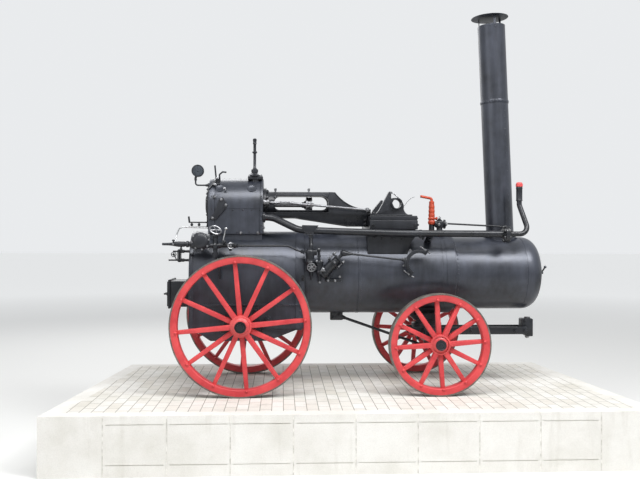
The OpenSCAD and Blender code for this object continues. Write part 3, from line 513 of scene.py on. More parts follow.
def make_wheel(axle, end, side):
    """A wooden wheel: felloe ring, staggered spokes with bolts, iron tyre, turned iron hub."""
    x, radius, hub_r, hub_out, first_spoke = REAR_WHEEL if axle == "rear" else FRONT_WHEEL
    wheel, tyre, hub = (axle + kind + end for kind in ("_wheel_", "_tyre_", "_hub_"))
    centre = Matrix.Translation(at(x, side * HALF_TRACK, radius)) @ spin(-90 * side, "X")

    def fit(steps, sides, hollow=False):
        """Turns a part about the wheel's axle."""
        part = turned(steps, sides=sides, hollow=hollow)
        part.matrix_world = centre
        return part

    outer, inner, foot_r = radius - 14, radius - 74, hub_r - 12
    ring = fit([(-50, outer), (50, outer), (50, inner + 9), (47, inner + 4), (41, inner),
                (-41, inner), (-47, inner + 4), (-50, inner + 9), (-50, outer)], 144, True)
    spoke = turned([(foot_r, 24), (inner - 60, 20), (inner + 22, 18.5)], sides=4)
    edit(spoke)
    bpy.ops.transform.rotate(value=pi / 4, orient_axis="Z", center_override=(0, 0, 0))
    bpy.ops.transform.resize(value=(1.6, sqrt(2), 1), center_override=(0, 0, 0))
    pick(spoke, lambda middle, normal: abs(normal.z) < 0.5)
    bpy.ops.mesh.bevel(offset=5 * MM, segments=3, affect="EDGES")
    leave_edit()
    tilt = atan(SPOKE_LEAN / (inner - hub_r))
    spoke_places, bolt_places = [], []
    for i in range(SPOKES):
        lean = 1 if i % 2 == 0 else -1
        around = centre @ spin(first_spoke + 360 / SPOKES * i, "Z")
        leaning = Matrix.Rotation(lean * tilt, 4, "Y")
        spoke_places.append(around @ shift(foot_r, 0, lean * SPOKE_LEAN) @ leaning @ shift(-foot_r, 0, 0)
                            @ spin(90, "Y"))
        bolt_places += [around @ shift(inner + 14, 0, face * 49.5) @ spin(90 - 90 * face, "X") for face in (1, -1)]
    settle([ring] + repeat(spoke, spoke_places), wheel + "_felloe_and_spokes", felloe_red, wheel, 34, wheel)
    settle(repeat(rivet(15, 13), bolt_places), wheel + "_spoke_bolts", felloe_red, body=wheel)

    band = fit([(-53, outer), (-53, radius - 3), (-50, radius - 0.6), (-20, radius), (20, radius), (50, radius - 0.6),
                (53, radius - 3), (53, outer), (-53, outer)], 144, True)
    settle([band], tyre + "_band", tyre_iron, tyre, 34, wheel)
    # The hub's steps as (distance, share of its radius), behind and on the spokes, then before them
    back = [(-85, 0.66), (-83, 0.72), (-68, 0.76), (-64, 0.8), (-60, 0.8), (-56, 0.86), (-46, 0.9), (-42, 0.97),
            (-38, 1), (38, 1), (42, 0.985), (45, 0.95), (48, 0.95), (50, 0.9), (52, 0.83)]
    front = [(-46, 0.8), (-36, 0.79), (-32, 0.75), (-29, 0.66), (-26, 0.62), (-18, 0.6), (-16, 0.56)]
    steps = [(far, hub_r * share) for far, share in back + [(hub_out + far, share) for far, share in front]]
    settle([fit(steps, 72)], hub + "_casting", hub_red, hub, 30, wheel)
    cap_r = hub_r * 0.52
    cap = [(-18, 1), (-7, 1), (-4, 0.96), (-3, 0.86), (-6, 0.8), (-6, 0.42), (-1, 0.38), (0, 0.3)]
    settle([fit([(hub_out + far, cap_r * share) for far, share in cap], 48)], hub + "_axle_cap", casting, None, 30,
           wheel)


for axle in ("rear", "front"):
    make_wheel(axle, "near", -1)
    make_wheel(axle, "far", 1)


# Boiler, smokebox and chimney

BOILER_Z, BARREL_R, SMOKE_R = 1115, 400, 362
# Parts that stand on the barrel or the firebox are cut to these, a hair clear of the sheet
BARREL_FIT, FIREBOX_FIT = 400.4, 411.6


def round_core(radius, x, length, sides=144):
    """A round tool about the boiler's axis, that fits what it cuts to the barrel's curve."""
    return turned([(0, radius), (length, radius)], (x, 0, BOILER_Z), ALONG, sides)


def around_boiler(part, degrees):
    """Turns a part about the boiler's axis; it is made with Z counted from that axis, and goes to the near side."""
    turn = Matrix.Translation(at(0, 0, BOILER_Z)) @ spin(degrees, "X") @ Matrix.Translation(-AXLE_FOOT)
    part.matrix_world = turn @ part.matrix_world
    return part


def make_boiler():
    """The lagged barrel: sheets with fine gaps, three clips and two seams."""
    sheets = turned([(0, 396), (1, 399.5), (515, 400), (517, 398.6), (519, 398.6), (521, 400),
                     (1330, 400), (1332, 398.6), (1334, 398.6), (1336, 400), (1458, 400), (1460, 397)],
                    (590, 0, BOILER_Z), ALONG, 160)
    settle([sheets], "barrel_lagging", sheeting, "boiler_barrel", 30)
    clips = [turned([(0, 400.2), (0.6, 402.6), (wide - 0.6, 402.6), (wide, 400.2), (0, 400.2)], (x, 0, BOILER_Z),
                    ALONG, 160, True)
             for x, wide in ((600, 26), (1110, 26), (1962, 86))]
    settle(clips, "barrel_clips", sheeting, angle=30)
    seam = [around_boiler(block((x0, -11, BARREL_R - 1), (x1, 11, BARREL_R + 1), 0.6, 1), 62)
            for x0, x1 in ((627, 1109), (1137, 1961))]
    settle(seam, "barrel_seams", sheeting)


SMOKE_BACK, DISH = 2050, 150
HINGE_X, HINGE_Y = 2953.3, 226


def make_smokebox():
    """Rolled tube with a flanged, dished front; open inside, with a hole for the chimney."""
    rim = SMOKE_R - DISH
    inside = [(740 + x, rim + r) for x, r in arc((0, 0), DISH - 9, 90, 0, 10)]
    outside = [(740 + x, rim + r) for x, r in arc((0, 0), DISH, 0, 90, 14)]
    shell = turned([(12, 353)] + inside + [(881, 191), (883, 190), (888, 190), (890, 192)] + outside
                   + [(717, 362), (716, 359.5), (712, 359.5), (711, 362), (708, 362.4), (8, 362.4), (8, 393),
                      (6, 394), (0, 394)],
                   (SMOKE_BACK, 0, BOILER_Z), ALONG, 160)
    parts = [cut(shell, turned([(100, 124), (500, 124)], (2596, 0, BOILER_Z), UP, 64))]
    for z in (-150, 150):
        parts.append(block((2917, 213, BOILER_Z + z - 8), (2964, 239, BOILER_Z + z + 8), 2))
    parts.append(bar((HINGE_X, HINGE_Y, BOILER_Z - 158), (HINGE_X, HINGE_Y, BOILER_Z + 158), 6, 24, 1))
    parts.append(around_boiler(block((2068, -10, SMOKE_R - 1), (2740, 10, SMOKE_R + 1.6), 0.8, 1), 205))
    settle(parts, "smokebox_shell", sheeting, "smokebox", 32)
    back = stand(2062, 0, BOILER_Z, ALONG)
    heads = [back @ spin(6 * i, "Z") @ shift(361.5, 0, 18) @ spin(90, "Y") for i in range(60)]
    settle(repeat(rivet(8, 4), heads), "smokebox_back_rivets", sheeting)


def make_smokebox_door():
    """Pressed round door with its two long hinge straps, crossbar dart and handles."""
    dome = 390.5

    def dome_x(y, z=0):
        return 60 - dome + sqrt(dome * dome - y * y - z * z)
    face = [(dome_x(r), r) for r in (186, 170, 150, 125, 100, 75, 50, 30, 12)]
    parts = [turned([(0, 200), (0.5, 206), (3, 208), (9, 208), (12, 205), (12, 190)] + face, (2940.3, 0, BOILER_Z),
                    ALONG, 96)]
    for z in (-110, 110):
        back = [(2940 + dome_x(y, z), y) for y in (-60, -20, 20, 60, 100, 140)]
        outline = [(x + 1, y) for x, y in back] + [(2953, 178), (2953, HINGE_Y), (2961, HINGE_Y), (2961, 180)]
        outline += [(x + 10, y) for x, y in reversed(back)]
        parts.append(plate(outline, BOILER_Z + z - 19, BOILER_Z + z + 19, "z", 2))
        parts.append(turned([(0, 12), (60, 12), (60, 6.1), (0, 6.1), (0, 12)],
                            (HINGE_X, HINGE_Y, BOILER_Z + z - 30), UP, 32, True))
        for y in (-35, 60, 130):
            parts += repeat(rivet(9, 6), [stand(2949 + dome_x(y, z), y, BOILER_Z + z, ALONG)])
    parts.append(turned([(0, 30), (4, 32), (10, 30), (12, 18), (22, 15), (34, 15), (38, 12)], (2998, 0, BOILER_Z),
                        ALONG, 32))
    parts.append(bar((3020, 0, BOILER_Z), (3020, -104, BOILER_Z + 58), 8, 16))
    parts.append(turned([(0, 8), (6, 13), (16, 14), (24, 9), (26, 4)], (3020, -98, BOILER_Z + 55), (0, -104, 58), 20))
    settle(parts, "smokebox_door_pressing", sheeting, "smokebox_door", 32, "smokebox_door")


CHIMNEY_FOOT = (2592, 0, 1445)
CHIMNEY_LEAN, CHIMNEY_TOP = -2.5, 2177


def in_chimney(part):
    """Stands a part that is made at the origin on the chimney's foot, with its lean."""
    part.matrix_world = Matrix.Translation(at(*CHIMNEY_FOOT)) @ spin(CHIMNEY_LEAN, "Y") @ part.matrix_world
    return part


def make_chimney():
    """Rolled tube in two lengths with a lapped joint and a riveted seam, its saddle and the rain cap."""
    top = CHIMNEY_TOP
    wall = in_chimney(turned([(-60, 131), (top, 131), (top, 135), (top - 2, 136.5), (top - 14, 136.5), (top - 16, 136),
                              (1417, 136), (1416, 139), (1413, 140), (1386, 140), (1383, 139), (1382, 136),
                              (-60, 136), (-60, 131)],
                             sides=128, hollow=True))
    saddle = turned([(-60, 131), (66, 131), (66, 150), (64, 154), (62, 154), (62, 170), (59, 172), (46, 172),
                     (44, 170), (44, 154), (20, 155), (-60, 158), (-60, 131)], CHIMNEY_FOOT, UP, 128, True)
    fitted = [cut(part, round_core(362.6, 2200, 800, 160)) for part in (wall, saddle)]
    settle(fitted, "chimney_tube", sheeting, "chimney", 32)
    disc = turned([(82, 4), (82, 182), (83, 185), (85, 185), (87, 178), (89, 90), (90, 6)], sides=96)
    disc.matrix_world = shift(-14, 0, top) @ disc.matrix_world
    cap = [disc]
    for degrees in (30, 150, 270):
        stay = block((123, -13, top - 44), (127.5, 13, top + 84), 1, 1)
        stay.matrix_world = spin(degrees, "Z") @ Matrix.Translation(-AXLE_FOOT) @ stay.matrix_world
        places = [spin(degrees, "Z") @ shift(135.5, 0, top - low) @ spin(90, "Y") for low in (34, 14)]
        cap += [stay] + repeat(turned([(0, 8), (3, 7.4), (6, 4)], sides=10), places)
    settle([in_chimney(part) for part in cap], "chimney_rain_cap", sheeting, angle=30)
    settle(repeat(nut(20, 14), bolt_ring(2592, 0, 1507, UP, 162, 8, 22.5)), "chimney_saddle_nuts", casting)
    rows = [spin(-62, "Z") @ shift(136, 0, 95 + i * 60) for i in range(22)]
    rows += [spin(360 * i / 26, "Z") @ shift(139.8, 0, 1399.5) for i in range(26)]
    heads = repeat(rivet(7, 3.4), [place @ spin(90, "Y") for place in rows])
    settle([in_chimney(head) for head in heads], "chimney_rivets", sheeting)


# Firebox and cylinder casing

FIREBOX_R = 411


def arch(reach, middle, foot, steps):
    """An outline with straight sides under a half round."""
    return [(-reach, foot)] + arc((0, middle), reach, 180, 0, steps) + [(reach, foot)]


def make_firebox():
    """Firebox wrapper: an arched sheet with lap strips at both ends and along its sides."""
    parts = [plate(arch(FIREBOX_R + grow, BOILER_Z, 600, 72), low, high, "x", rounding)
             for grow, low, high, rounding in ((0, -505, 590, 2), (4.5, 505, 588, 1), (4, -503, -465, 1))]
    parts += [block((-500, 410, 815), (586, 421, 835), 2), block((-500, -421, 815), (586, -410, 835), 2)]
    for s in (-1, 1):
        parts.append(turned([(-4, 34), (1, 36), (6, 34), (9, 28), (9, 10)], (240, s * FIREBOX_R, 690), (0, s, 0), 36))
        parts += repeat(nut(22, 16), [stand(240, s * 419, 690, (0, s, 0), 0.3)])
    settle(parts, "firebox_wrapper", sheeting, "firebox_shell", 30)
    rows = []
    for s in (-1, 1):
        rows += [stand(-480 + i * 62, s * 420.6, 825, (0, s, 0)) for i in range(18)]
        rows += [stand(x, s * y, 640 + i * 65, (0, s, 0)) for i in range(7) for x, y in ((-485, 414.5), (547, 415))]
    settle(repeat(rivet(8, 4), rows), "firebox_rivets", sheeting)


CYL_BACK, CYL_FRONT, CYL_R, CYL_ARCH = -336, 190, 285, 1762


def make_casing():
    """Cylinder casing: arched sheet in two tiers over a cast foot, flanges, bosses and screws."""
    upper = plate(arch(CYL_R, CYL_ARCH, 1744, 60), CYL_BACK, CYL_FRONT, "x", 2)
    lower = plate([(-CYL_R + 5, 1500), (-CYL_R + 5, 1745), (CYL_R - 5, 1745), (CYL_R - 5, 1500)], CYL_BACK,
                  CYL_FRONT, "x", 2)
    foot = block((CYL_BACK + 20, -CYL_R + 30, 1365), (CYL_FRONT - 10, CYL_R - 30, 1502), 3)
    foot = cut(foot, round_core(FIREBOX_FIT, -600, 900))
    flange = plate(arch(CYL_R + 8, CYL_ARCH, 1506, 60), CYL_FRONT - 26, CYL_FRONT - 4, "x", 2.5)
    back = plate(arch(CYL_R + 6, CYL_ARCH, 1506, 60), CYL_BACK + 4, CYL_BACK + 60, "x", 2)
    lip = block((CYL_BACK + 64, -9, 2043), (CYL_FRONT - 30, 9, 2049), 2)
    parts = [upper, lower, foot, flange, back, lip]
    parts += [turned([(0, 48), (24, 48), (30, 47), (34, 43), (34, 30), (32, 26)], (x, -197, 1924), (0, -0.766, 0.643))
              for x in (-228, 80)]
    settle(parts, "cylinder_casing", sheeting, "cylinder_block", 30)
    screws = [stand(x, -CYL_R + (4.5 if z < 1745 else -0.5), z, NEAR) for x, z in
              ((-164, 1752), (0, 1728), (160, 1728), (-100, 1728), (80, 1728), (150, 1520), (60, 1518), (-60, 1518),
               (-250, 1520))]
    screws += [stand(CYL_FRONT - 15, -CYL_R - 7.5, 1540 + i * 44, NEAR) for i in range(5)]
    screws += [stand(CYL_BACK + 34, -CYL_R - 5.5, z, NEAR) for z in (1540, 1640, 1740)]
    screws += [stand(x, CYL_R, z, FAR) for x in (-290, -160, -30, 100) for z in (1520, 1728)]
    for degrees in (20, 45, 70, 90, 110, 135, 160):
        y, z = -cos(radians(degrees)), sin(radians(degrees))
        for x, reach in ((CYL_FRONT - 15, CYL_R + 7.5), (CYL_BACK + 34, CYL_R + 5.5)):
            screws.append(stand(x, y * reach, CYL_ARCH + z * reach, (0, y, z)))
    screws += [stand(CYL_BACK + 78 + i * 55, 0, 2048.5, UP) for i in range(8)]
    settle(repeat(rivet(7, 4.5), screws), "casing_screws", casting)
    bolts = repeat(nut(20, 12), [stand(-279, -226, 1965, (0, -0.7, 0.7), 0.2),
                                 stand(-277, -CYL_R - 5, 1857, NEAR, 0.5)])
    settle(bolts, "casing_bolts", casting)


# Exhaust

EXHAUST_Z = 1504


def make_exhaust():
    """Exhaust pipe with the branch box over the pump, its flange, and the riser with its red cap."""
    y = -398
    pipe = tube([(194, -252, 1662), (290, -262, 1656), (530, y, 1538), (900, y, 1524), (1560, y, 1507),
                 (2535, y, EXHAUST_Z)], 33, 130, 10)
    box = plate([(564, 1533), (564, 1583), (721, 1580), (666, 1497), (604, 1497)], y - 37, y + 37, "y", 7)
    collar = turned([(0.3, 52), (18, 52), (22, 48), (22, 37), (34, 33)], (190, -252, 1662), ALONG, 40)
    flange = turned([(0, 33), (4, 42), (16, 44), (16, 82), (18, 84), (34, 84), (36, 83)], (2500, y, EXHAUST_Z),
                    ALONG, 64)
    band = turned([(0, 32.5), (0, 37), (26, 37), (26, 32.5), (0, 32.5)], (1686, y, 1506.6), (975, 0, -3), 48, True)
    ear = block((1690, y - 5, 1462), (1708, y + 5, 1482), 2)
    hook = plate([(1704, 1484), (1746, 1484), (1728, 1440), (1717, 1446)], y - 4, y + 4, "y", 1.5)
    stay = plate([(-402, 1480), (-388, 1483), (-250, 1432), (-258, 1423)], 1762, 1832, "x", 2)
    settle([pipe, box, collar, flange, band, ear, hook, stay], "exhaust_pipe_run", casting, "exhaust_pipe", 32)
    riser = tube([(2560, y, EXHAUST_Z), (2765, y, EXHAUST_Z), (2697, -288, 1790), (2697, -288, 1880)], 25, 80, 10)
    other = turned([(0, 83), (2, 84), (18, 84), (20, 82), (20, 40), (34, 36), (42, 27)], (2536.2, y, EXHAUST_Z),
                   ALONG, 64)
    socket = turned([(0, 25), (3, 30), (10, 32), (14, 30), (120, 30), (124, 32), (134, 32), (142, 29)],
                    (2697, -288, 1826), UP, 40)
    settle([riser, other, socket], "exhaust_riser_bend", casting, "exhaust_riser", 32)
    cap = turned([(0, 30), (2, 34), (28, 34), (31, 30), (38, 28), (42, 24), (45, 12)], (2697, -288, 1968), UP, 40)
    settle([cap], "exhaust_red_cap", hub_red, angle=32)
    bolts = bolt_ring(2556.2, y, EXHAUST_Z, ALONG, 64, 6, 30)
    heads = [place @ shift(0, 0, -40.7) @ spin(180, "X") for place in bolts]
    heads += [stand(1699, y - 4.5, 1471, NEAR)]
    settle(repeat(nut(22, 15), bolts + heads), "exhaust_flange_bolts", casting)


# Motion

ROD_Z, CRANK_X = 1793, 1479
BASE_BACK, BASE_FRONT, BASE_LOW, BASE_TOP = 1217, 1682, 1545, 1678


def make_cylinder_cover():
    """Back cover with its boss and nuts, and the valve chest's plate beside it."""
    cover = turned([(0, 150), (20, 150), (26, 145), (26, 112), (22, 108), (22, 94), (26, 90), (40, 90), (44, 86),
                    (44, 28), (39, 24), (39, 6)], (CYL_BACK, 0, ROD_Z), BACK, 72)
    chest = block((CYL_BACK - 14, -265, 1560), (CYL_BACK + 1, -115, 1900), 4)
    settle([cover, chest], "cylinder_back_cover", casting, "cylinder_cover", 32)
    places = bolt_ring(CYL_BACK - 25.5, 0, ROD_Z, BACK, 128, 10, 18)
    settle(repeat(nut(20, 11), places), "back_cover_nuts", casting)
    places = [stand(CYL_BACK - 13.5, y, z, BACK) for y in (-247, -133) for z in (1580, 1686, 1774, 1880)]
    settle(repeat(rivet(9, 5), places), "valve_chest_rivets", casting)


def make_guide():
    """Trunk guide: round casting with a rimmed window on each side, its arms, bed and oil cups."""
    def window(grow):
        return (arc((348, 1828), 50 + grow, 90, 180, 8) + arc((348, 1789), 50 + grow, 180, 270, 8)
                + arc((762, 1809), 70 + grow, -90, 90, 16))
    trunk = turned([(0, 78), (0, 160), (3, 164), (25, 164), (28, 161), (28, 134), (34, 128), (40, 126), (742, 126),
                    (746, 122), (746, 78), (0, 78)], (190, 0, ROD_Z + 6), ALONG, 96, True)
    trunk = cut(trunk, plate(window(0), -200, 200, "y", 0))
    slope = plate([(880, 1930), (1000, 1930), (1000, 1600), (981, 1600)], -200, 200, "y", 0)
    trunk = cut(trunk, slope)
    parts = [trunk]
    for near, far in ((-114, -72), (72, 114)):
        parts.append(cut(plate(window(17), near, far, "y", 3), plate(window(0), near - 9, far + 9, "y", 0)))
    sweep = arc((1235, 2169), 423, 272.2, 217, 26)
    arm = [(190, 1672), (430, 1672), (1040, 1580), (1217, 1580), (1217, 1678.5), (1251, 1678.5)]
    arm += sweep + [(832, 1915), (832, 1716), (190, 1716)]
    lip = sweep + arc((1235, 2169), 433, 217, 272.2, 26)
    for near in (-147, 113):
        parts.append(plate(arm, near, near + 34, "y", 4))
        parts.append(plate(lip, near - 5, near + 39, "y", 3))
        parts.append(block((196, near - 4, 1704), (842, near + 38, 1716.5), 4))
    parts.append(block((190.5, -114, 1660), (940, 114, 1690), 4))
    settle(parts, "trunk_guide", casting, "guide_frame", 32)
    cups = []
    for x in (308, 642):
        cups.append(turned([(0, 15), (4, 15), (6, 8), (20, 8), (22, 12), (40, 13), (42, 15), (44, 13), (47, 6)],
                           (x, 0, 1914), UP, 24))
        cups.append(turned([(0, 6), (10, 6), (12, 8), (16, 7)], (x, -112, 1868), NEAR, 12))
    settle(cups, "guide_oil_cups", steel)
    places = bolt_ring(217.5, 0, ROD_Z, ALONG, 143, 10, 8)
    places += [stand(1232, s * 147.5, z, (0, s, 0), 0.3) for s in (-1, 1) for z in (1700, 1724)]
    places += [stand(x, s * 147.5, z, (0, s, 0), 0.1) for s in (-1, 1) for x, z in ((1195, 1600), (1195, 1640))]
    settle(repeat(nut(24, 18), places), "guide_nuts", casting)


def make_crosshead():
    """Piston rod, crosshead with its two shoes and open fork, and the valve rod with its gland."""
    head = turned([(0, 30), (3, 40), (14, 46), (18, 66), (22, 77.6), (40, 77.7), (42, 74), (62, 74), (64, 77.7),
                   (80, 77.6), (82, 70)],
                  (594, 0, ROD_Z), ALONG, 64)
    head = cut(head, block((642, -30, ROD_Z - 60), (720, 30, ROD_Z + 60), 6))
    rod = turned([(0, 22), (380, 22), (382, 28), (404, 30), (404, 22), (448, 22)], (190.3, 0, ROD_Z), ALONG, 40)
    parts = [head, rod, bar((655, -52, ROD_Z), (655, 52, ROD_Z), 19, 32)]
    for s in (-1, 1):
        parts.append(block((580, s * 66 - 11, ROD_Z - 16), (690, s * 66 + 11, ROD_Z + 16), 3))
        parts += repeat(nut(20, 12), [stand(x, s * 76.5, ROD_Z, (0, s, 0)) for x in (596, 674)])
    settle(parts, "crosshead_and_rod", steel, "crosshead", 32)

    y = -205
    gland = turned([(0.3, 34), (8, 36), (16, 36), (17, 24), (36, 24), (37, 30), (48, 34), (56, 33), (60, 20),
                    (60, 12)], (190, y, 1808), ALONG, 40)
    rod = tube([(230, y, 1808), (460, y, 1800), (1195, y, 1740)], 11, 60, 8)
    fork = block((352, y - 15, 1787), (452, y + 15, 1819), 7, 3)
    eye = turned([(0, 18), (3, 22), (29, 22), (32, 18)], (1208, y - 16, 1740), FAR, 32)
    collar = turned([(0, 14), (3, 17), (26, 17), (29, 13)], (462, y, 1800), (735, 0, -60), 24)
    settle([gland, rod, fork, eye, collar], "valve_rod_run", steel, "valve_rod", 32)
    places = [stand(x, y - 14.5, 1803, NEAR, 0.3) for x in (372, 430)] + [stand(1208, y - 15.5, 1740, NEAR)]
    places += [stand(249, y + d, 1808, ALONG) for d in (-26, 26)]
    settle(repeat(nut(19, 12), places), "valve_rod_nuts", steel)


def make_crank_base():
    """Crank base: two stepped beams on a saddle plate that wraps the barrel, with its side plates."""
    parts = []
    for s in (-1, 1):
        low, high = sorted((s * 235, s * 365))
        parts.append(block((BASE_BACK, low, BASE_LOW), (BASE_FRONT, high, 1633), 5, 3))
        parts.append(block((BASE_BACK + 4, low + 7, 1629), (BASE_FRONT - 4, high - 7, BASE_TOP), 5, 3))
        near = s * 340 - 13
        side = [(1197, 1300), (1582, 1300), (1616, 1417), (1662, 1480), (1662, 1550), (1197, 1550)]
        parts.append(plate(side, near, near + 26, "y", 3))
    walls = [block((1217, -300, 1440), (1243, 300, BASE_TOP - 1), 3), block((1567, -300, 1440), (1593, 300, 1605), 3)]
    parts += [cut(part, round_core(414, 1150, 600, 120)) for part in walls]
    wrap = turned([(0, 400.3), (0, 413), (3, 416), (392, 416), (395, 413), (395, 400.3), (0, 400.3)],
                  (1197, 0, BOILER_Z), ALONG, 160, True)
    wrap = cut(wrap, block((1100, -600, 600), (1700, 600, 1345), 0.5, 1))
    parts.append(wrap)
    settle(parts, "crank_base_saddle", casting, "crank_base", 30)
    places = []
    for s in (-1, 1):
        places += [stand(x, s * 352.5, z, (0, s, 0), 0.2)
                   for x, z in ((1263, 1467), (1338, 1457), (1436, 1457), (1533, 1457), (1484, 1505))]
        places += [stand(x, s * 364.5, 1590, (0, s, 0), 0.4) for x in (1247, 1652)]
        places += [stand(BASE_FRONT - 1, s * 300 + d, 1590, ALONG, 0.1) for d in (-34, 34)]
        places += [stand(BASE_FRONT - 4.5, s * 300, 1655, ALONG, 0.1)]
    settle(repeat(nut(20, 13), places), "crank_base_nuts", casting)


def make_pedestals():
    """Two pedestals with closed eyes and bushes, swept sides and a horn; the crankshaft is missing."""
    parts = []
    for s, tip in ((-1, CRANK_X + 433), (1, CRANK_X + 382)):
        outline = [(1240, BASE_TOP - 1), (1630, BASE_TOP - 1)] + arc((1620, 1756), 71, -82, -178, 14)
        outline += arc((1462, 1761), 90, -2, 112, 26) + [(1427, tip - 5), (1422, tip), (1410, tip), (1403, tip - 7)]
        outline += [(1325, 1759)] + arc((1225, 1785), 100, -30, -81, 10)
        near = s * 300 - 35
        slab = plate(outline, near, near + 70, "y", 4)
        parts.append(cut(slab, bar((CRANK_X, near - 50, ROD_Z), (CRANK_X, near + 120, ROD_Z), 47, 64, 0.5)))
        parts.append(turned([(0, 44), (0, 53), (3, 56), (30, 56), (30, 50), (100, 50), (100, 56), (127, 56),
                             (130, 53), (130, 44), (0, 44)],
                            (CRANK_X, s * 300 - 65, ROD_Z), FAR, 64, True))
        parts.append(block((1240, s * 300 - 58, BASE_TOP), (1630, s * 300 + 58, BASE_TOP + 12), 3))
    settle(parts, "crank_pedestals", casting, "crank_bearings", 32)
    places = [stand(1262, y, BASE_TOP + 11.5, UP, 0.3) for y in (-340, -260, 260, 340)]
    settle(repeat(nut(26, 20), places), "pedestal_nuts", casting)
    oil = [tube([(1545, -335, 1765), (1561, -335, 1783), (1585, -335, 1815), (1622, -335, 1850),
                 (1655, -335, 1862)], 2.6, 40, 3),
           tube([(1430, -338, 1900), (1452, -338, 1889), (1530, -338, 1822)], 5, 12, 4),
           turned([(0, 8), (3, 11), (16, 11), (20, 7)], (1424, -338, 1890), UP, 16)]
    settle(oil, "bearing_oil_pipe", steel)


# Feed pump

PUMP_Y = -455
STRAP = (1676, 1222)


def make_feed_pump():
    """Feed pump: delivery pipe, elbow, screwed covers, slanting barrel with its gland, and the bracket."""
    y = PUMP_Y
    # The delivery line, the valve chest's line, the round cover's middle and the barrel's foot
    pipe_x, chest_x, cover_at, barrel_at = 650, 724, (650, y, 1184), (744, y, 1105)
    slant = (1, 0, 1)
    delivery = tube([(pipe_x, -398, 1490), (pipe_x, -400, 1452), (pipe_x, y, 1390), (pipe_x, y, 1330)], 18, 40, 8)
    union = turned([(0, 18), (2, 24), (12, 25), (14, 22), (22, 22), (24, 25), (33, 24), (36, 18)],
                   (pipe_x, -399, 1452), UP, 6)
    elbow = turned([(0, 18), (2, 26), (12, 27), (14, 24), (20, 24), (24, 30), (84, 30), (88, 26), (92, 26),
                    (94, 30), (106, 29), (110, 20)], (598, y, 1325), ALONG, 40)
    column = turned([(0, 30), (4, 38), (18, 40), (24, 36), (60, 36), (74, 44), (88, 46), (100, 40), (120, 38),
                     (140, 42), (176, 45), (190, 44), (202, 38), (211, 28), (216, 14)], (638, y, 1145), UP, 48)
    stem = turned([(0, 6), (2, 9), (38, 9), (42, 12), (44, 17), (80, 17), (84, 20), (94, 20)], (pipe_x, y, 1061),
                  UP, 24)
    link = turned([(0, 28), (20, 28), (24, 32), (40, 32), (44, 28), (93, 28)], (631, y, 1177), ALONG, 32)
    chest = turned([(0, 34), (3, 37), (16, 37), (20, 34), (70, 34), (74, 37), (93, 37)], (726, y, 1130), UP, 40)
    cap = turned([(0, 42), (2, 45), (13, 45), (16, 42), (16, 26), (22, 24), (22, 8)], (chest_x, y, 1221), UP, 40)
    screw = turned([(0, 17), (14, 17), (16, 13), (44, 13), (46, 17), (60, 17), (62, 13), (96, 13), (98, 16),
                    (116, 16), (118, 10), (137, 8)], (chest_x, y, 1235), UP, 20)
    lower = turned([(0, 8), (2, 12), (16, 12), (17, 20), (28, 20), (30, 17), (52, 17), (54, 20), (80, 20), (84, 26),
                    (106, 26)], (729, y, 1029), UP, 32)
    barrel = turned([(0, 40), (6, 50), (26, 52), (30, 56), (58, 56), (62, 50), (157, 50), (157, 62), (159, 64),
                     (169, 64), (171, 62), (171, 40), (174, 36), (214, 34), (216, 26), (226, 20)],
                    barrel_at, slant, 48)
    gland = turned([(217.8, 40), (219.5, 43), (230, 43), (232, 40), (232, 24), (238, 22), (240, 19)],
                   barrel_at, slant, 48)
    gland.scale = (1.05, 1.7, 1)
    plunger = bar((896, y, 1257), (950, y, 1311), 17, 32, 1)
    boss = turned([(0, 30), (2, 36), (6, 38), (115, 38)], (814, y - 2, 1153), FAR, 40)
    seat = turned([(0, 30), (4, 36), (38, 36), (40, 34)], cover_at, NEAR, 40)
    parts = [delivery, union, elbow, column, stem, link, chest, cap, screw, lower, barrel, gland, plunger, seat]
    bracket = [boss, block((785, -455, 1045), (935, -345, 1069), 4), block((802, -450, 1060), (826, -360, 1160), 3)]
    around = [cut(part, round_core(BARREL_FIT, 500, 600)) for part in bracket]
    settle(parts + around, "feed_pump_castings", casting, "feed_pump", 32)

    cover = [turned([(34, 38), (48, 38), (50, 42), (57, 42), (59, 40), (59, 34), (57, 32), (34, 32), (34, 38)],
                    cover_at, NEAR, 40, True),
             turned([(36, 12), (56, 12), (59, 9)], cover_at, NEAR, 20)]
    spoke = block((619, y - 57, 1179.5), (681, y - 50, 1188.5), 2)
    cover += swung(spoke, cover_at[0], cover_at[2], (20, 80, 140))
    settle(cover, "pump_round_cover", steel)
    cock_x, cock_z = 758, 1163
    star = [turned([(0, 14), (2, 16), (10, 16), (14, 10)], (cock_x, y - 56, cock_z), NEAR, 16)]
    arm = block((cock_x - 5, y - 70, cock_z), (cock_x + 5, y - 60, cock_z + 27), 3)
    star += swung(arm, cock_x, cock_z, (0, 120, 240))
    settle(star, "pump_test_cock", steel)
    along = Vector(slant).normalized()
    across = Vector((-1, 0, 1)).normalized()
    studs, places = [], []
    for side in (-1, 1):
        foot = Vector(barrel_at) + along * 150 + across * side * 58
        studs.append(bar(foot, foot + along * 108, 6.5, 12, 1))
        places.append(stand(*(foot + along * 21), along))
        places.append(stand(*(foot + along * 82), along, 0.4))
    for side in (-1, 1):
        foot = Vector(barrel_at) + Vector((0, side * 47, 0)) + along * 171
        places.append(stand(*foot, along, 0.2))
    settle(studs, "pump_gland_studs", steel)
    places += [stand(730, y, 1236.5, UP), stand(chest_x, y, 1352, UP), stand(811, -454.5, 1057, NEAR),
               stand(877, -454.5, 1057, NEAR), stand(921, -440, 1092, NEAR), stand(730, y - 38, 1043, NEAR)]
    places += bolt_ring(chest_x, y, 1236.5, UP, 34, 4, 45)
    settle(repeat(nut(19, 13), places), "pump_nuts", steel)


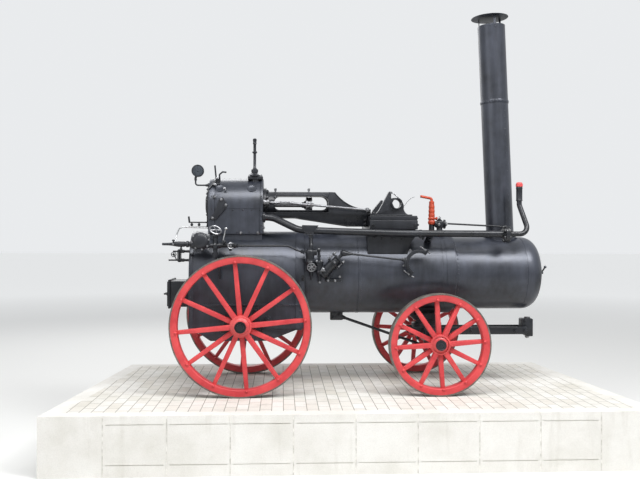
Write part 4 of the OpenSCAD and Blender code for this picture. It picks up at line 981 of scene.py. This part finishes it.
def make_pump_rod():
    """Pump rod with its knuckle, foot and the half of the eccentric strap that is left."""
    y = PUMP_Y
    along = Vector((607, 0, -68)).normalized()
    knuckle = turned([(0, 8), (6, 20), (16, 28), (28, 31), (44, 28), (62, 22), (84, 16), (106, 12), (114, 9)],
                     (926, y, 1321), along, 32)
    pin = bar((955, y - 20, 1318), (955, y + 20, 1318), 12, 20)
    rod = bar((960, y, 1317.5), (1558, y, 1250.5), 9, 24)
    foot = turned([(0, 9), (3, 15), (30, 17), (40, 24), (52, 26)], (1510, y, 1255.8), along, 24)
    half = arc(STRAP, 126, 55, 236, 40) + arc(STRAP, 99, 236, 55, 40)
    strap = plate(half, y - 24, y + 24, "y", 3)
    groove = arc(STRAP, 130, 60, 231, 40) + arc(STRAP, 122, 231, 60, 40)
    parts = [knuckle, pin, rod, foot, strap, plate(groove, y - 13, y + 13, "y", 2)]
    for a, low, high in ((55, -6, 15), (236, -15, 6)):
        pad = block((STRAP[0] + 98, y - 24, STRAP[1] + low), (STRAP[0] + 156, y + 24, STRAP[1] + high), 4)
        parts += swung(pad, *STRAP, [-a])
    tee = block((STRAP[0] + 123, y - 20, STRAP[1] - 42), (STRAP[0] + 140, y + 20, STRAP[1] + 42), 4)
    parts += swung(tee, *STRAP, [-176])
    settle(parts, "pump_rod_and_strap", casting, "pump_rod", 32)
    places = []
    middle = Vector((STRAP[0], y, STRAP[1]))
    for a in (163, 189):
        out = Vector((cos(radians(a)), 0, sin(radians(a))))
        places.append(stand(*(middle + out * 139), out))
    studs = []
    for a, turn in ((55, -1), (236, 1)):
        out = Vector((cos(radians(a)), 0, sin(radians(a))))
        beyond = Vector((-out.z, 0, out.x)) * turn
        foot = middle + out * 138
        studs.append(bar(foot - beyond * 84, foot + beyond * 36, 7, 12, 1))
        places.append(stand(*(foot - beyond * 16), -beyond))
    settle(studs, "strap_studs", steel)
    settle(repeat(nut(18, 14), places), "strap_nuts", steel)
    settle([turned([(0, 7), (8, 7), (10, 11), (20, 12), (24, 8)], (1601, y, 1335), (-0.62, 0, 0.78), 16)],
           "strap_oil_cup", steel)


def make_feed_pipe():
    """Feed pipe from the injector to the pump, with its union nut."""
    y = PUMP_Y
    run = tube([(-56.5, y, 1385), (430, y, 1385), (528, y, 1340), (588.7, y, 1325)], 9, 70, 8)
    union = turned([(0, 12), (2, 17), (14, 18), (16, 15), (24, 15), (26, 18), (38, 17), (40, 13)], (552, y, 1334),
                   (61, 0, -15), 6)
    other = turned([(0, 13), (2, 18), (16, 18), (18, 13)], (-56, y, 1385), ALONG, 6)
    settle([run, union, other], "feed_pipe_run", casting, "feed_pipe", 32)
    clamp = [block((558, -416, 1048), (588, -398, 1112), 4), block((562, -432, 1072), (584, -410, 1088), 3)]
    settle(clamp, "pump_pipe_clamp", casting)


# Fittings on the casing and the barrel

def make_whistle():
    """Whistle column on its flanged base, with the rings along the stem."""
    x, y = 104, -110
    base = cut(block((38, -146, 2036), (186, -48, 2066), 4, 3),
               turned([(0, 285.3), (700, 285.3)], (-200, 0, CYL_ARCH), ALONG, 120))
    neck = turned([(0, 44), (50, 44)], (112, -94, 1988), UP, 32)
    column = turned([(0, 50), (3, 54), (14, 54), (17, 48), (19, 30), (40, 28), (43, 34), (68, 34), (72, 28),
                     (80, 20), (90, 14), (227, 14), (230, 18), (234, 24), (246, 24), (250, 18), (253, 14),
                     (317, 14), (325, 19), (333, 17), (347, 17), (355, 19), (369, 19), (375, 14), (378, 6)],
                    (x, y, 2066), UP, 40)
    settle([base, neck, column], "whistle_column_turning", casting, "whistle_column", 32)
    places = [stand(x + 42 * cos(a), y + 42 * sin(a), 2080, UP) for a in (0.8, 2.4, 3.9, 5.5)]
    places += [stand(a, b, 2066, UP) for a in (54, 170) for b in (-132, -62)]
    settle(repeat(nut(20, 14), places), "whistle_base_nuts", steel)


def make_pressure_gauge():
    """Pressure gauge: black case with a blank grey face, on a bent stem with its cock."""
    y, x, z = -150, -448, 2115
    stem = tube([(-360, y, 1975), (-470, y, 1975), (-470, y, 2070)], 8, 24, 8)
    foot = turned([(0, 20), (3, 22), (14, 22), (16, 14), (36, 12)], (-336, y, 1975), BACK, 24)
    cock = turned([(0, 9), (4, 13), (16, 13), (20, 9), (24, 13), (30, 13), (34, 9)], (-470, y, 2020), UP, 20)
    plug = turned([(0, 7), (14, 7), (16, 10), (24, 10)], (-470, y, 2036), NEAR, 16)
    case = turned([(0, 40), (3, 54), (10, 60), (46, 60), (50, 58), (50, 53), (46, 52), (45, 10)], (x, y + 20, z),
                  NEAR, 56)
    neck = turned([(0, 9), (10, 12), (24, 10)], (-468, y, 2050), (0.12, 0, 1), 20)
    settle([stem, foot, cock, plug, case, neck], "pressure_gauge_case", casting, "pressure_gauge", 32)
    face = turned([(0, 51.5), (1.5, 51.5), (2, 50), (1.2, 8), (5, 6), (6, 2)], (x, y - 25, z), NEAR, 56)
    settle([face], "pressure_gauge_face", gauge_grey, angle=32)


def make_blower():
    """Blower valve on the barrel's top and its pipe to the chimney."""
    y = -88
    stand_pipe = cut(turned([(0, 36), (44, 36), (48, 42), (60, 42), (62, 36), (80, 30), (120, 28)], (1950, y, 1470),
                            UP, 40),
                     round_core(BARREL_FIT, 1700, 700))
    chest = block((1916, y - 36, 1566), (1986, y + 36, 1634), 9, 3)
    body = turned([(0, 22), (4, 30), (20, 32), (90, 32), (92, 46), (106, 46), (108, 28), (116, 24), (124, 14)],
                  (1900, y, 1604), ALONG, 40)
    bonnet = turned([(0, 28), (24, 28), (26, 16), (36, 16), (38, 9), (52, 9)], (1950, y, 1620), UP, 24)
    pipe = tube([(2018, y, 1610), (2500, y - 66, 1584), (2590, y - 66, 1579), (2592, -70, 1577)], 8.5, 30, 8)
    pipe = cut(pipe, in_chimney(turned([(-80, 136.3), (400, 136.3)], sides=96)))
    settle([stand_pipe, chest, body, bonnet, pipe], "blower_valve_and_pipe", casting, "blower_valve", 32)
    places = [stand(1950, y, 1660, UP), stand(1938, y - 35.5, 1600, NEAR, 0.3), stand(2005.5, y - 35, 1604, ALONG),
              stand(2005.5, y + 35, 1604, ALONG)]
    settle(repeat(nut(22, 16), places), "blower_nuts", bright_tube)


def make_steam_valve():
    """Red steam valve: ringed body, gland and bent flat handle on a black foot."""
    x, y = 1876, -60
    foot = cut(turned([(0, 33), (44, 33), (48, 40), (60, 40), (62, 33), (80, 28), (130, 27)], (x, y, 1470), UP, 40),
               round_core(BARREL_FIT, 1700, 700))
    settle([foot], "steam_valve_foot", casting, angle=32)
    body = turned([(0, 24), (6, 32), (20, 37), (34, 37), (42, 32), (50, 29), (54, 36), (66, 38), (72, 33), (82, 30),
                   (90, 32), (104, 32), (112, 29), (124, 29), (132, 31), (146, 31), (154, 28), (166, 28),
                   (174, 30), (188, 30), (196, 27), (214, 26), (232, 26), (240, 18)],
                  (x, y, 1597), UP, 40)
    handle = tube([(x, y, 1815), (x, y, 1862), (x - 114, y, 1884)], 13.5, 22, 8)
    side = turned([(0, 10), (24, 10), (26, 16), (40, 17), (44, 12)], (x + 16, y, 1660), (1, -0.3, 0), 20)
    settle([body, handle, side], "steam_valve_body", valve_red, "steam_valve", 32)


def make_casing_fittings():
    """Diagonal link on the casing's side, levers and cocks at its back corner."""
    y = -CYL_R
    link = plate([(-228, 1838), (-190, 1848), (-150, 1778), (-178, 1731), (-261, 1633), (-326, 1633), (-273, 1710)],
                 y - 15, y - 1, "y", 3)
    levers = [tube([(-262, -205, 2010), (-270, -205, 2080), (-278, -205, 2164)], 8, 20, 5),
              tube([(-232, -180, 2015), (-236, -180, 2078), (-205, -186, 2104), (-168, -186, 2100)], 8, 14, 5),
              bar((-347, -252, 1922), (-246, -172, 2044), 11, 16, 2),
              turned([(0, 20), (4, 24), (18, 24), (20, 16), (40, 15), (42, 20), (52, 20), (54, 10)],
                     (-247, -190, 1998), UP, 24)]
    rods = []
    for z in (1611, 1565):
        rods.append(bar((-352, -200, z), (-528, -200, z), 6.5, 16, 1))
        rods.append(turned([(0, 12), (3, 16), (12, 16), (14, 9), (30, 8)], (-336, -200, z), BACK, 20))
    for x in (-500, -430):
        rods.append(turned([(0, 7), (6, 12), (14, 14), (22, 12), (30, 7)], (x, -200, 1574), UP, 16))
    rods.append(bar((-522, -200, 1605), (-530, -200, 1668), 9, 12, 2))
    bridge = tube([(-620, -440, 1420), (-620, -400, 1487), (-602, -330, 1552), (-560, -300, 1562),
                   (-338, -270, 1557)], 6, 34, 6)
    settle([link] + levers + rods, "casing_levers_and_cocks", casting, angle=32)
    settle([bridge], "casing_drain_tube", bright_tube)
    places = [stand(x, y - 14.5, z, NEAR, 0.3) for x, z in ((-208, 1828), (-164, 1776), (-292, 1650))]
    places += [stand(-253, -214, 2040, (0, -1, 0.3)), stand(-274, -236, 1976, (0, -1, 0.5), 0.2),
               stand(-274, -288, 1854, NEAR), stand(-180, -262, 1934, (0, -1, 0.5), 0.4)]
    places += [stand(x, y - 1, 1508, NEAR) for x in (-22, 142)]
    places += [stand(CYL_FRONT + 0.5, -262, z, ALONG) for z in (1560, 1700)]
    settle(repeat(nut(22, 15), places), "casing_bright_nuts", steel)


# Injector and water gauge

def handwheel(x, y, z, toward, radius, grip):
    """A small handwheel: round rim, four spokes and its boss."""
    steps = [(grip * sin(radians(a)), radius - grip + grip * cos(radians(a))) for a in range(0, 361, 45)]
    wheel = [turned(steps, sides=40, hollow=True), turned([(-8, 6), (-8, 11), (8, 11), (9, 6)], sides=16)]
    for i in range(4):
        spoke = turned([(0, grip * 0.7), (radius - grip, grip * 0.6)], sides=8)
        spoke.matrix_world = spin(90 * i, "Z") @ spin(90, "Y")
        wheel.append(spoke)
    place = stand(x, y, z, toward)
    for part in wheel:
        part.matrix_world = place @ part.matrix_world
    return wheel


def make_injector():
    """Injector group: tapering nozzle, round-covered body, stop valves with handwheels, link and drain."""
    y = PUMP_Y
    nozzle = turned([(0, 8), (4, 12), (60, 13), (96, 16), (118, 21), (150, 26), (206, 26), (212, 22), (222, 22),
                     (226, 30), (246, 30), (250, 24), (268, 24)],
                    (-745, y, 1400), ALONG, 32)
    body = turned([(0, 30), (4, 40), (16, 44), (124, 44), (136, 38), (143, 26)], (-478, y, 1400), ALONG, 48)
    tower = turned([(0, 34), (4, 46), (22, 46), (26, 38), (124, 38), (128, 46), (146, 46), (150, 36)],
                   (-399, y, 1330), UP, 48)
    cover = turned([(0, 74), (10, 82), (22, 84), (30, 84), (34, 76), (40, 73), (48, 60), (54, 40), (56, 16)],
                   (-386, y, 1428), NEAR, 56)
    run = turned([(0, 20), (12, 20), (14, 26), (34, 26), (36, 20), (120, 20), (122, 27), (142, 27), (144, 20),
                  (218, 20)], (-338, y, 1388), ALONG, 32)
    stem = turned([(0, 18), (4, 26), (50, 26), (54, 20), (84, 20), (88, 28), (110, 28), (114, 24), (190, 24),
                   (194, 28), (212, 28), (216, 20), (232, 14), (256, 10)],
                  (-250, y, 1270), UP, 32)
    side = turned([(0, 10), (20, 10), (22, 48), (44, 48), (46, 24), (84, 20)], (-142, y, 1385), ALONG, 40)
    drain = tube([(-250, y, 1280), (-212, y, 1240), (-209, y, 1075)], 11, 30, 6)
    legs = [bar((-250, y, 1300), (-250, -408, 1300), 22, 32), bar((-399, y, 1440), (-399, -240, 1440), 22, 32)]
    legs = [cut(leg, round_core(FIREBOX_FIT, -600, 900)) for leg in legs]
    cocks = [turned([(0, 8), (14, 8), (16, 13), (28, 13), (32, 6)], (-640, y, 1412), UP, 16),
             turned([(0, 8), (16, 8), (18, 12), (34, 12), (38, 5)], (-568, y, 1378), (0, -0.3, -1), 16)]
    for x, z in ((-166, 1421), (-82, 1393)):
        cocks.append(turned([(0, 14), (16, 14), (18, 20), (30, 20), (34, 10), (48, 9)], (x, y - 14, z), NEAR, 20))
    parts = [nozzle, body, tower, cover, run, stem, side, drain] + legs + cocks
    settle(parts, "injector_castings", casting, "injector", 32)
    wheels = handwheel(-248, y - 6, 1532, (0.35, -0.62, 0.7), 62, 8)
    wheels += handwheel(-104, y - 40, 1385, (0.2, -1, 0.1), 32, 6)
    settle(wheels, "injector_handwheels", steel)
    link = [bar((-151, y - 30, 1543), (-178, y - 30, 1421), 6, 12, 1),
            turned([(0, 6), (5, 12), (12, 15), (20, 14), (26, 8)], (-151, y - 30, 1532), (0.2, 0, 1), 16)]
    settle(link, "injector_link", bright_tube)
    places = bolt_ring(-386, y - 31, 1428, NEAR, 79, 8, 10)
    places += [stand(-399, y, 1480, UP), stand(-250, y - 24, 1400, NEAR), stand(-470, y - 40, 1424, NEAR),
               stand(-310, y - 22, 1352, NEAR), stand(-640, y - 18, 1400, NEAR)]
    settle(repeat(nut(17, 11), places), "injector_nuts", steel)


def make_water_gauge():
    """Water gauge on the firebox's back: two cocks, the guarded glass and the blow-down wheel."""
    y, x = -230, -615
    parts = []
    for z in (1245, 1330):
        parts.append(turned([(0, 30), (3, 32), (10, 32), (12, 14), (60, 12), (64, 17), (92, 17), (98, 14),
                             (112, 17), (128, 12)], (-505, y, z), BACK, 24))
    parts += [bar((x - 20, y, z), (far, y, z), 8, 16) for far, z in ((-718, 1245), (-676, 1330))]
    parts.append(turned([(0, 10), (4, 15), (16, 17), (20, 13), (105, 13), (109, 17), (121, 15), (125, 10)],
                        (x, y, 1225), UP, 24))
    parts += handwheel(-668, y - 10, 1300, (0.3, -1, 0.2), 27, 4) + [bar((-668, y, 1300), (-640, y, 1245), 5, 12, 1)]
    for a in (40, 160, 280):
        c, s = 20 * cos(radians(a)), 20 * sin(radians(a))
        parts.append(bar((x + c, y + s, 1238), (x + c, y + s, 1338), 3, 8, 0.5))
    settle(parts, "water_gauge_fittings", casting, "water_gauge", 32)


# Axles, saddle and draw bar

SADDLE_Z = 590
KING_R = 30
# The draw bars' two faces, from the engine's middle
BAR_IN, BAR_OUT = 84, 106


def make_rear_axle():
    """Rear axle stubs, their brackets bolted to the firebox and the collars inside the hubs."""
    parts, places = [], []
    for s in (-1, 1):
        near, far = sorted((s * 411.5, s * 437))
        bracket = plate([(-200, 560), (200, 560), (176, 640), (150, 805), (-150, 805), (-176, 640)], near, far, "y", 4)
        parts.append(bracket)
        stub = turned([(0, 78), (8, 76), (14, 64), (24, 58), (110, 55), (124, 60), (130, 62), (134, 62)],
                      (0, s * 422, 650), (0, s, 0), 56)
        inner = turned([(0, 30), (2, 32), (250, 32)], (0, s * 530, 650), (0, s, 0), 48)
        parts += [stub, inner]
        places += [stand(x, s * 436.5, z, (0, s, 0), 0.2) for x in (-120, 120) for z in (600, 700, 775)]
    settle(parts, "rear_axle_brackets", casting, "rear_axle", 32)
    settle(repeat(nut(30, 20), places), "rear_axle_nuts", casting)


def make_front_saddle():
    """Front saddle casting under the barrel with its wrap, ribs, turntable plate and king pin."""
    x = FRONT_X
    web = plate([(x - 215, 775), (x + 85, 775), (x + 81, SADDLE_Z + 100), (x + 68, SADDLE_Z + 22), (x + 68, SADDLE_Z),
                 (x - 87, SADDLE_Z), (x - 87, SADDLE_Z + 22), (x - 185, SADDLE_Z + 100)], -115, 115, "y", 5)
    web = cut(web, round_core(412, x - 450, 900))
    hollow = [(x - 170, 768), (x + 50, 768), (x + 46, SADDLE_Z + 60), (x - 120, SADDLE_Z + 60)]
    for y in (-140, 90):
        web = cut(web, plate(hollow, y, y + 50, "y", 4))
    table = turned([(0.3, 144), (3, 150), (20, 150), (24, 146)], (x, 0, SADDLE_Z), UP, 72)
    wrap = turned([(0, 400.4), (0, 411), (3, 414), (309, 414), (312, 411), (312, 400.4), (0, 400.4)],
                  (x - 225, 0, BOILER_Z), ALONG, 160, True)
    wrap = cut(wrap, block((x - 400, -600, BOILER_Z - 335), (x + 400, 600, BOILER_Z + 700), 0.5, 1))
    pin = turned([(0, 40), (3, 46), (14, 46), (17, 40), (17, KING_R), (250, KING_R)], (x, 0, FRONT_R - 120), UP, 48)
    settle([web, table, wrap, pin], "front_saddle_casting", casting, "front_saddle", 32)
    places = []
    for dx in (-200, -120, -20, 62):
        for s in (-1, 1):
            a = radians(14 * s)
            out = (0, sin(a), -cos(a))
            places.append(stand(x + dx, 414 * out[1], BOILER_Z + 414 * out[2], out, 0.2))
    places += [stand(x, 0, FRONT_R - 120, DOWN)]
    settle(repeat(nut(26, 16), places), "front_saddle_nuts", casting)


def make_fore_carriage():
    """Turntable plate, bolster, axle beam with its straps, and the front axle's ends."""
    x, body = FRONT_X, "fore_carriage"
    table = turned([(0, 146), (3, 150), (19, 150), (22, 146)], (x, 0, SADDLE_Z - 22.3), UP, 72)
    bolster = block((x - 60, -280, 514), (x + 60, 280, 569), 6, 3)
    beam = block((x - 45, -556, 435), (x + 45, 556, 515), 7, 3)
    parts = [cut(part, bar((x, 0, 300), (x, 0, 700), KING_R + 1.5, 48, 0.5)) for part in (table, bolster, beam)]
    for s in (-1, 1):
        low, high = sorted((s * BAR_IN, s * BAR_OUT))
        parts[1:] = [cut(part, block((x - 200, low - 0.5, 499.5), (x + 200, high + 0.5, 575.5), 0.3, 1))
                     for part in parts[1:]]
    for s in (-1, 1):
        parts.append(turned([(0, 34), (4, 29), (130, 28)], (x, s * 556, FRONT_R), (0, s, 0), 48))
        for y in (200, 262):
            parts += [block((x + x0, s * y - 14, z0), (x + x1, s * y + 14, z1), 1.5) for x0, x1, z0, z1 in
                      ((-64, -60, 428, 574), (60, 64, 428, 574), (-64, 64, 428, 434.5), (-64, 64, 569.5, 575))]
    settle(parts, "fore_carriage_irons", casting, "fore_carriage", 32, body)
    places = [stand(x + dx, s * y, 428, DOWN, 0.2) for s in (-1, 1) for y in (200, 262) for dx in (-50, 50)]
    settle(repeat(nut(22, 14), places), "fore_carriage_nuts", casting, body=body)


def make_draw_bar():
    """Twin draw bars, their cross plates, and the jaw with its slot and bolts."""
    body = "fore_carriage"
    parts = []
    for s in (-1, 1):
        low, high = sorted((s * BAR_IN, s * BAR_OUT))
        parts.append(block((1650, low, 500), (2835, high, 575), 3.5, 3))
    parts.append(block((2801, -95, 504), (2835, 95, 571), 4))
    parts.append(block((2250, -95, 504), (2290, 95, 571), 4))
    side = [(2801, 508)] + arc((2813, 640), 12, 180, 90, 4) + arc((2903, 640), 12, 90, 0, 4)
    side += arc((2905, 482), 10, 0, -90, 3) + [(2855, 472), (2809, 500)]
    jaw = cut(plate(side, -55, 55, "y", 4), block((2851, -50, 589), (2960, 50, 626), 3))
    parts.append(cut(jaw, bar((2872, 0, 380), (2872, 0, 760), 23.5, 40, 0.5)))
    parts += [block((2800, s * 80 - 22, 512), (2845, s * 80 + 22, 563), 4) for s in (-1, 1)]
    settle(parts, "draw_bar_and_jaw", casting, "drawbar", 32, body)
    places = [stand(x, s * BAR_OUT, 538, (0, s, 0), 0.3) for s in (-1, 1) for x in (1690, 2270, 2716, 2818)]
    places += [stand(2835, s * 70, 538, ALONG) for s in (-1, 1)]
    places += [stand(2832, s * 55, 632, (0, s, 0), 0.1) for s in (-1, 1)]
    settle(repeat(nut(24, 15), places), "draw_bar_nuts", casting, body=body)
    pin = turned([(0, 12), (6, 20), (10, 22), (202, 22), (202.3, 27), (205, 31), (212, 31), (217, 26)],
                 (2872, 0, 450), UP, 40)
    settle([pin], "coupling_pin_turning", steel, "coupling_pin", 38, body, "fitting_black")


def make_stay_rod():
    """Stay from the barrel's bracket to the king pin's lower end."""
    bracket = cut(block((860, -30, 640), (985, 30, 735), 5, 3), round_core(BARREL_FIT, 500, 900))
    start, end = Vector((960, 0, 676)), Vector((1790, 0, 386))
    along = (end - start).normalized()
    rod = bar(start, end, 14, 24)
    fork = turned([(0, 22), (30, 24), (60, 20), (80, 14)], start - along * 20, along, 24)
    eye = cut(turned([(0, 50), (3, 54), (23, 54), (26, 50)], (FRONT_X, 0, FRONT_R - 102), UP, 48),
              bar((FRONT_X, 0, 350), (FRONT_X, 0, 440), KING_R + 1.5, 48, 0.5))
    tongue = block((1760, -30, 376), (1800, 30, 396), 5)
    settle([bracket, rod, fork, eye, tongue], "stay_rod_forging", casting, "stay_rod", 32)
    places = [stand(x, s * 30, z, (0, s, 0)) for x, z in ((885, 668), (945, 690)) for s in (-1, 1)]
    settle(repeat(nut(26, 16), places), "stay_rod_nuts", casting)


# Fire end

# The fire door's closed face, and the hinge line of its pin
DOOR_FACE, DOOR_HINGE_X, DOOR_HINGE_Y = -726.3, -737.3, 206


def make_ash_pan():
    """Ash pan of riveted sheet with an angle rim, open at the back for the air."""
    ends = [(-485, 600), (570, 600), (245, 475), (-305, 475)]
    inside = [(-462, 640), (-462, 602), (-298, 487), (238, 487), (548, 602), (548, 640)]
    shell = cut(plate(ends, -336, 336, "y", 3), plate(inside, -326, 326, "y", 0))
    shell = cut(shell, block((-560, -210, 520), (-300, 210, 575), 3))
    rim = [block((-486, s * 336 - 10, 578), (566, s * 336 + 10, 599.5), 2) for s in (-1, 1)]
    flaps = [plate([(-470, 592), (-462, 598), (-330, 500), (-338, 494)], y, y + 16, "y", 1) for y in (-230, 214)]
    settle([shell] + flaps + rim, "ash_pan_sheets", sheeting, "ash_pan", 32)
    rows = [stand(x, s * 346, 589, (0, s, 0)) for s in (-1, 1) for x in range(-460, 560, 68)]
    rows += [stand(x, s * 336, 487, (0, s, 0)) for s in (-1, 1) for x in range(-280, 240, 74)]
    settle(repeat(rivet(7, 4), rows), "ash_pan_rivets", sheeting)


def make_fire_mouth():
    """Fire mouth: flanged open box on the firebox's back with its hinge lugs and studs."""
    parts = []
    for low, high, rounding in (((-720, -200, 790), (-504, 200, 1040), 6), ((-726, -215, 775), (-706, 215, 1055), 4)):
        parts.append(cut(block(low, high, rounding, 3), block((-800, -170, 820), (-515, 170, 1010), 10, 3)))
    parts += [block((-746, 198, z - 7), (-720, 214, z + 7), 2) for z in (797, 1033)]
    parts.append(bar((DOOR_HINGE_X, DOOR_HINGE_Y, 790), (DOOR_HINGE_X, DOOR_HINGE_Y, 1040), 6, 24, 1))
    frame_plate = block((-516, -228, 762), (-504.5, 228, 1068), 3)
    parts.append(cut(frame_plate, block((-560, -170, 820), (-514, 170, 1010), 10, 3)))
    settle(parts, "fire_mouth_box", casting, "fire_mouth", 32)
    rows = [stand(-515.5, y, z, BACK) for y in (-216, -108, 0, 108, 216)
            for z in (777, 1054) if z > 1000 or abs(y) > 50]
    rows += [stand(-515.5, y, z, BACK) for y in (-216, 216) for z in (850, 915, 985)]
    settle(repeat(rivet(9, 5), rows), "fire_mouth_rivets", casting)


def make_fire_door():
    """Fire door: plate with an air grid, two strap hinges and a latch handle."""
    x, middle_z = DOOR_FACE, 915
    slab = block((x - 12, -190, middle_z - 120), (x, 190, middle_z + 120), 3)
    for z in (middle_z - 30, middle_z + 30):
        slab = cut(slab, block((x - 60, -35, z - 6), (x + 30, 75, z + 6), 2))
    parts = [slab]
    for z in (middle_z - 72, middle_z + 72):
        parts.append(cut(block((x - 20, -120, z - 15), (DOOR_HINGE_X, DOOR_HINGE_Y, z + 15), 2),
                         bar((DOOR_HINGE_X, DOOR_HINGE_Y, z - 60), (DOOR_HINGE_X, DOOR_HINGE_Y, z + 60), 7.5, 24, 0.5)))
        parts.append(turned([(0, 7.5), (0, 10), (30, 10), (30, 7.5), (0, 7.5)], (DOOR_HINGE_X, DOOR_HINGE_Y, z - 15),
                            UP, 24, True))
        parts += repeat(rivet(7, 4), [stand(x - 20, y, z, BACK) for y in (-100, -20, 60, 140)])
    parts.append(turned([(0, 14), (3, 16), (8, 16), (10, 9), (34, 9)], (x - 12, -163, middle_z), BACK, 24))
    parts.append(turned([(0, 7), (60, 8), (90, 10), (96, 6)], (x - 40, -163, middle_z), FAR, 20))
    settle(parts, "fire_door_plate", casting, "fire_door", 32, "fire_door")


# Plinth

def make_plinth_strips():
    """Round mastic strips standing in the joints of the plinth's front."""
    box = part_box("plinth")
    front, top, low = box[0][1], box[1][2], box[0][2]
    joints, pitch, height = 9, 0.518, (top - low) * 1000 - 8
    strips = []
    for i in range(joints):
        strip = turned([(0, 6), (1, 7), (height - 1, 7), (height, 6)], sides=16)
        strip.location = ((i - joints // 2) * pitch, front + 0.0072, low + 0.004)
        strips.append(strip)
    settle(strips, "plinth_joint_strips", mastic)


for make in (make_boiler, make_smokebox, make_smokebox_door, make_chimney, make_firebox, make_casing, make_exhaust,
             make_cylinder_cover, make_guide, make_crosshead, make_crank_base, make_pedestals, make_feed_pump,
             make_pump_rod, make_feed_pipe, make_whistle, make_pressure_gauge, make_blower, make_steam_valve,
             make_casing_fittings, make_injector, make_water_gauge, make_rear_axle, make_front_saddle,
             make_fore_carriage, make_draw_bar, make_stay_rod, make_ash_pan, make_fire_mouth, make_fire_door,
             make_plinth_strips):
    make()


# Stage

def lay_stage():
    """A pale floor that glows softly far off, a pale world behind it, and four softboxes."""
    floor, place = new_material("pale_studio_floor")
    away = node(floor, "VectorMath", {"operation": "LENGTH"}, {0: place})
    lift = node(floor, "MapRange", {"From Min": 4, "From Max": 22, "To Min": 0.08, "To Max": 0.5},
                {"Value": away.outputs["Value"]})
    seen = node(floor, "LightPath").outputs
    glow = node(floor, "Math", {"operation": "MULTIPLY"}, {0: seen["Is Camera Ray"], 1: lift})
    shader = node(floor, "BsdfPrincipled", {"Base Color": colour("#e6e6e4"), "Roughness": 0.9,
                                            "Emission Color": colour("#f2f4f6")}, {"Emission Strength": glow})
    node(floor, "OutputMaterial", None, {"Surface": shader})
    bpy.ops.object.select_all(action="DESELECT")
    bpy.ops.mesh.primitive_plane_add(size=240, location=(0, 0, -0.001))
    ground = bpy.context.object
    ground.name = "studio_floor"
    ground.data.materials.append(floor)
    bpy.ops.object.transform_apply(location=True, rotation=True, scale=True)

    world = bpy.data.worlds.new("pale_studio")
    bpy.context.scene.world = world
    world.use_nodes = True
    world.node_tree.nodes.clear()
    seen = node(world, "LightPath").outputs
    direct = node(world, "Math", {"operation": "MAXIMUM"}, {0: seen["Is Camera Ray"], 1: seen["Is Transmission Ray"]})
    mirrored = node(world, "Math", {"operation": "MAXIMUM"}, {0: direct, 1: seen["Is Glossy Ray"]})
    strength = node(world, "MapRange", {"To Min": 0.4, "To Max": 0.92}, {"Value": mirrored})
    light = node(world, "Background", {"Color": colour("#f2f4f6")}, {"Strength": strength})
    node(world, "OutputWorld", None, {"Surface": light})

    engine_middle = Vector((0, 0, 1.3))
    for name, spot, wide, deep, power in (
            ("key_softbox", (5.5, -6.0, 8.5), 2.2, 2.2, 385), ("fill_softbox", (-7.5, -6.0, 4.0), 5.0, 5.0, 90),
            ("back_softbox", (-3.0, 7.5, 7.0), 5.0, 5.0, 220), ("top_strip_light", (0.4, -3.8, 7.4), 8.0, 2.6, 565)):
        lamp = bpy.data.lights.new(name, "AREA")
        lamp.shape = "RECTANGLE"
        lamp.size = wide
        lamp.size_y = deep
        lamp.energy = power
        softbox = bpy.data.objects.new(name, lamp)
        bpy.context.collection.objects.link(softbox)
        softbox.location = spot
        softbox.rotation_euler = (engine_middle - Vector(spot)).to_track_quat("-Z", "Y").to_euler()


lay_stage()
bpy.context.scene.view_settings.view_transform = "Standard"
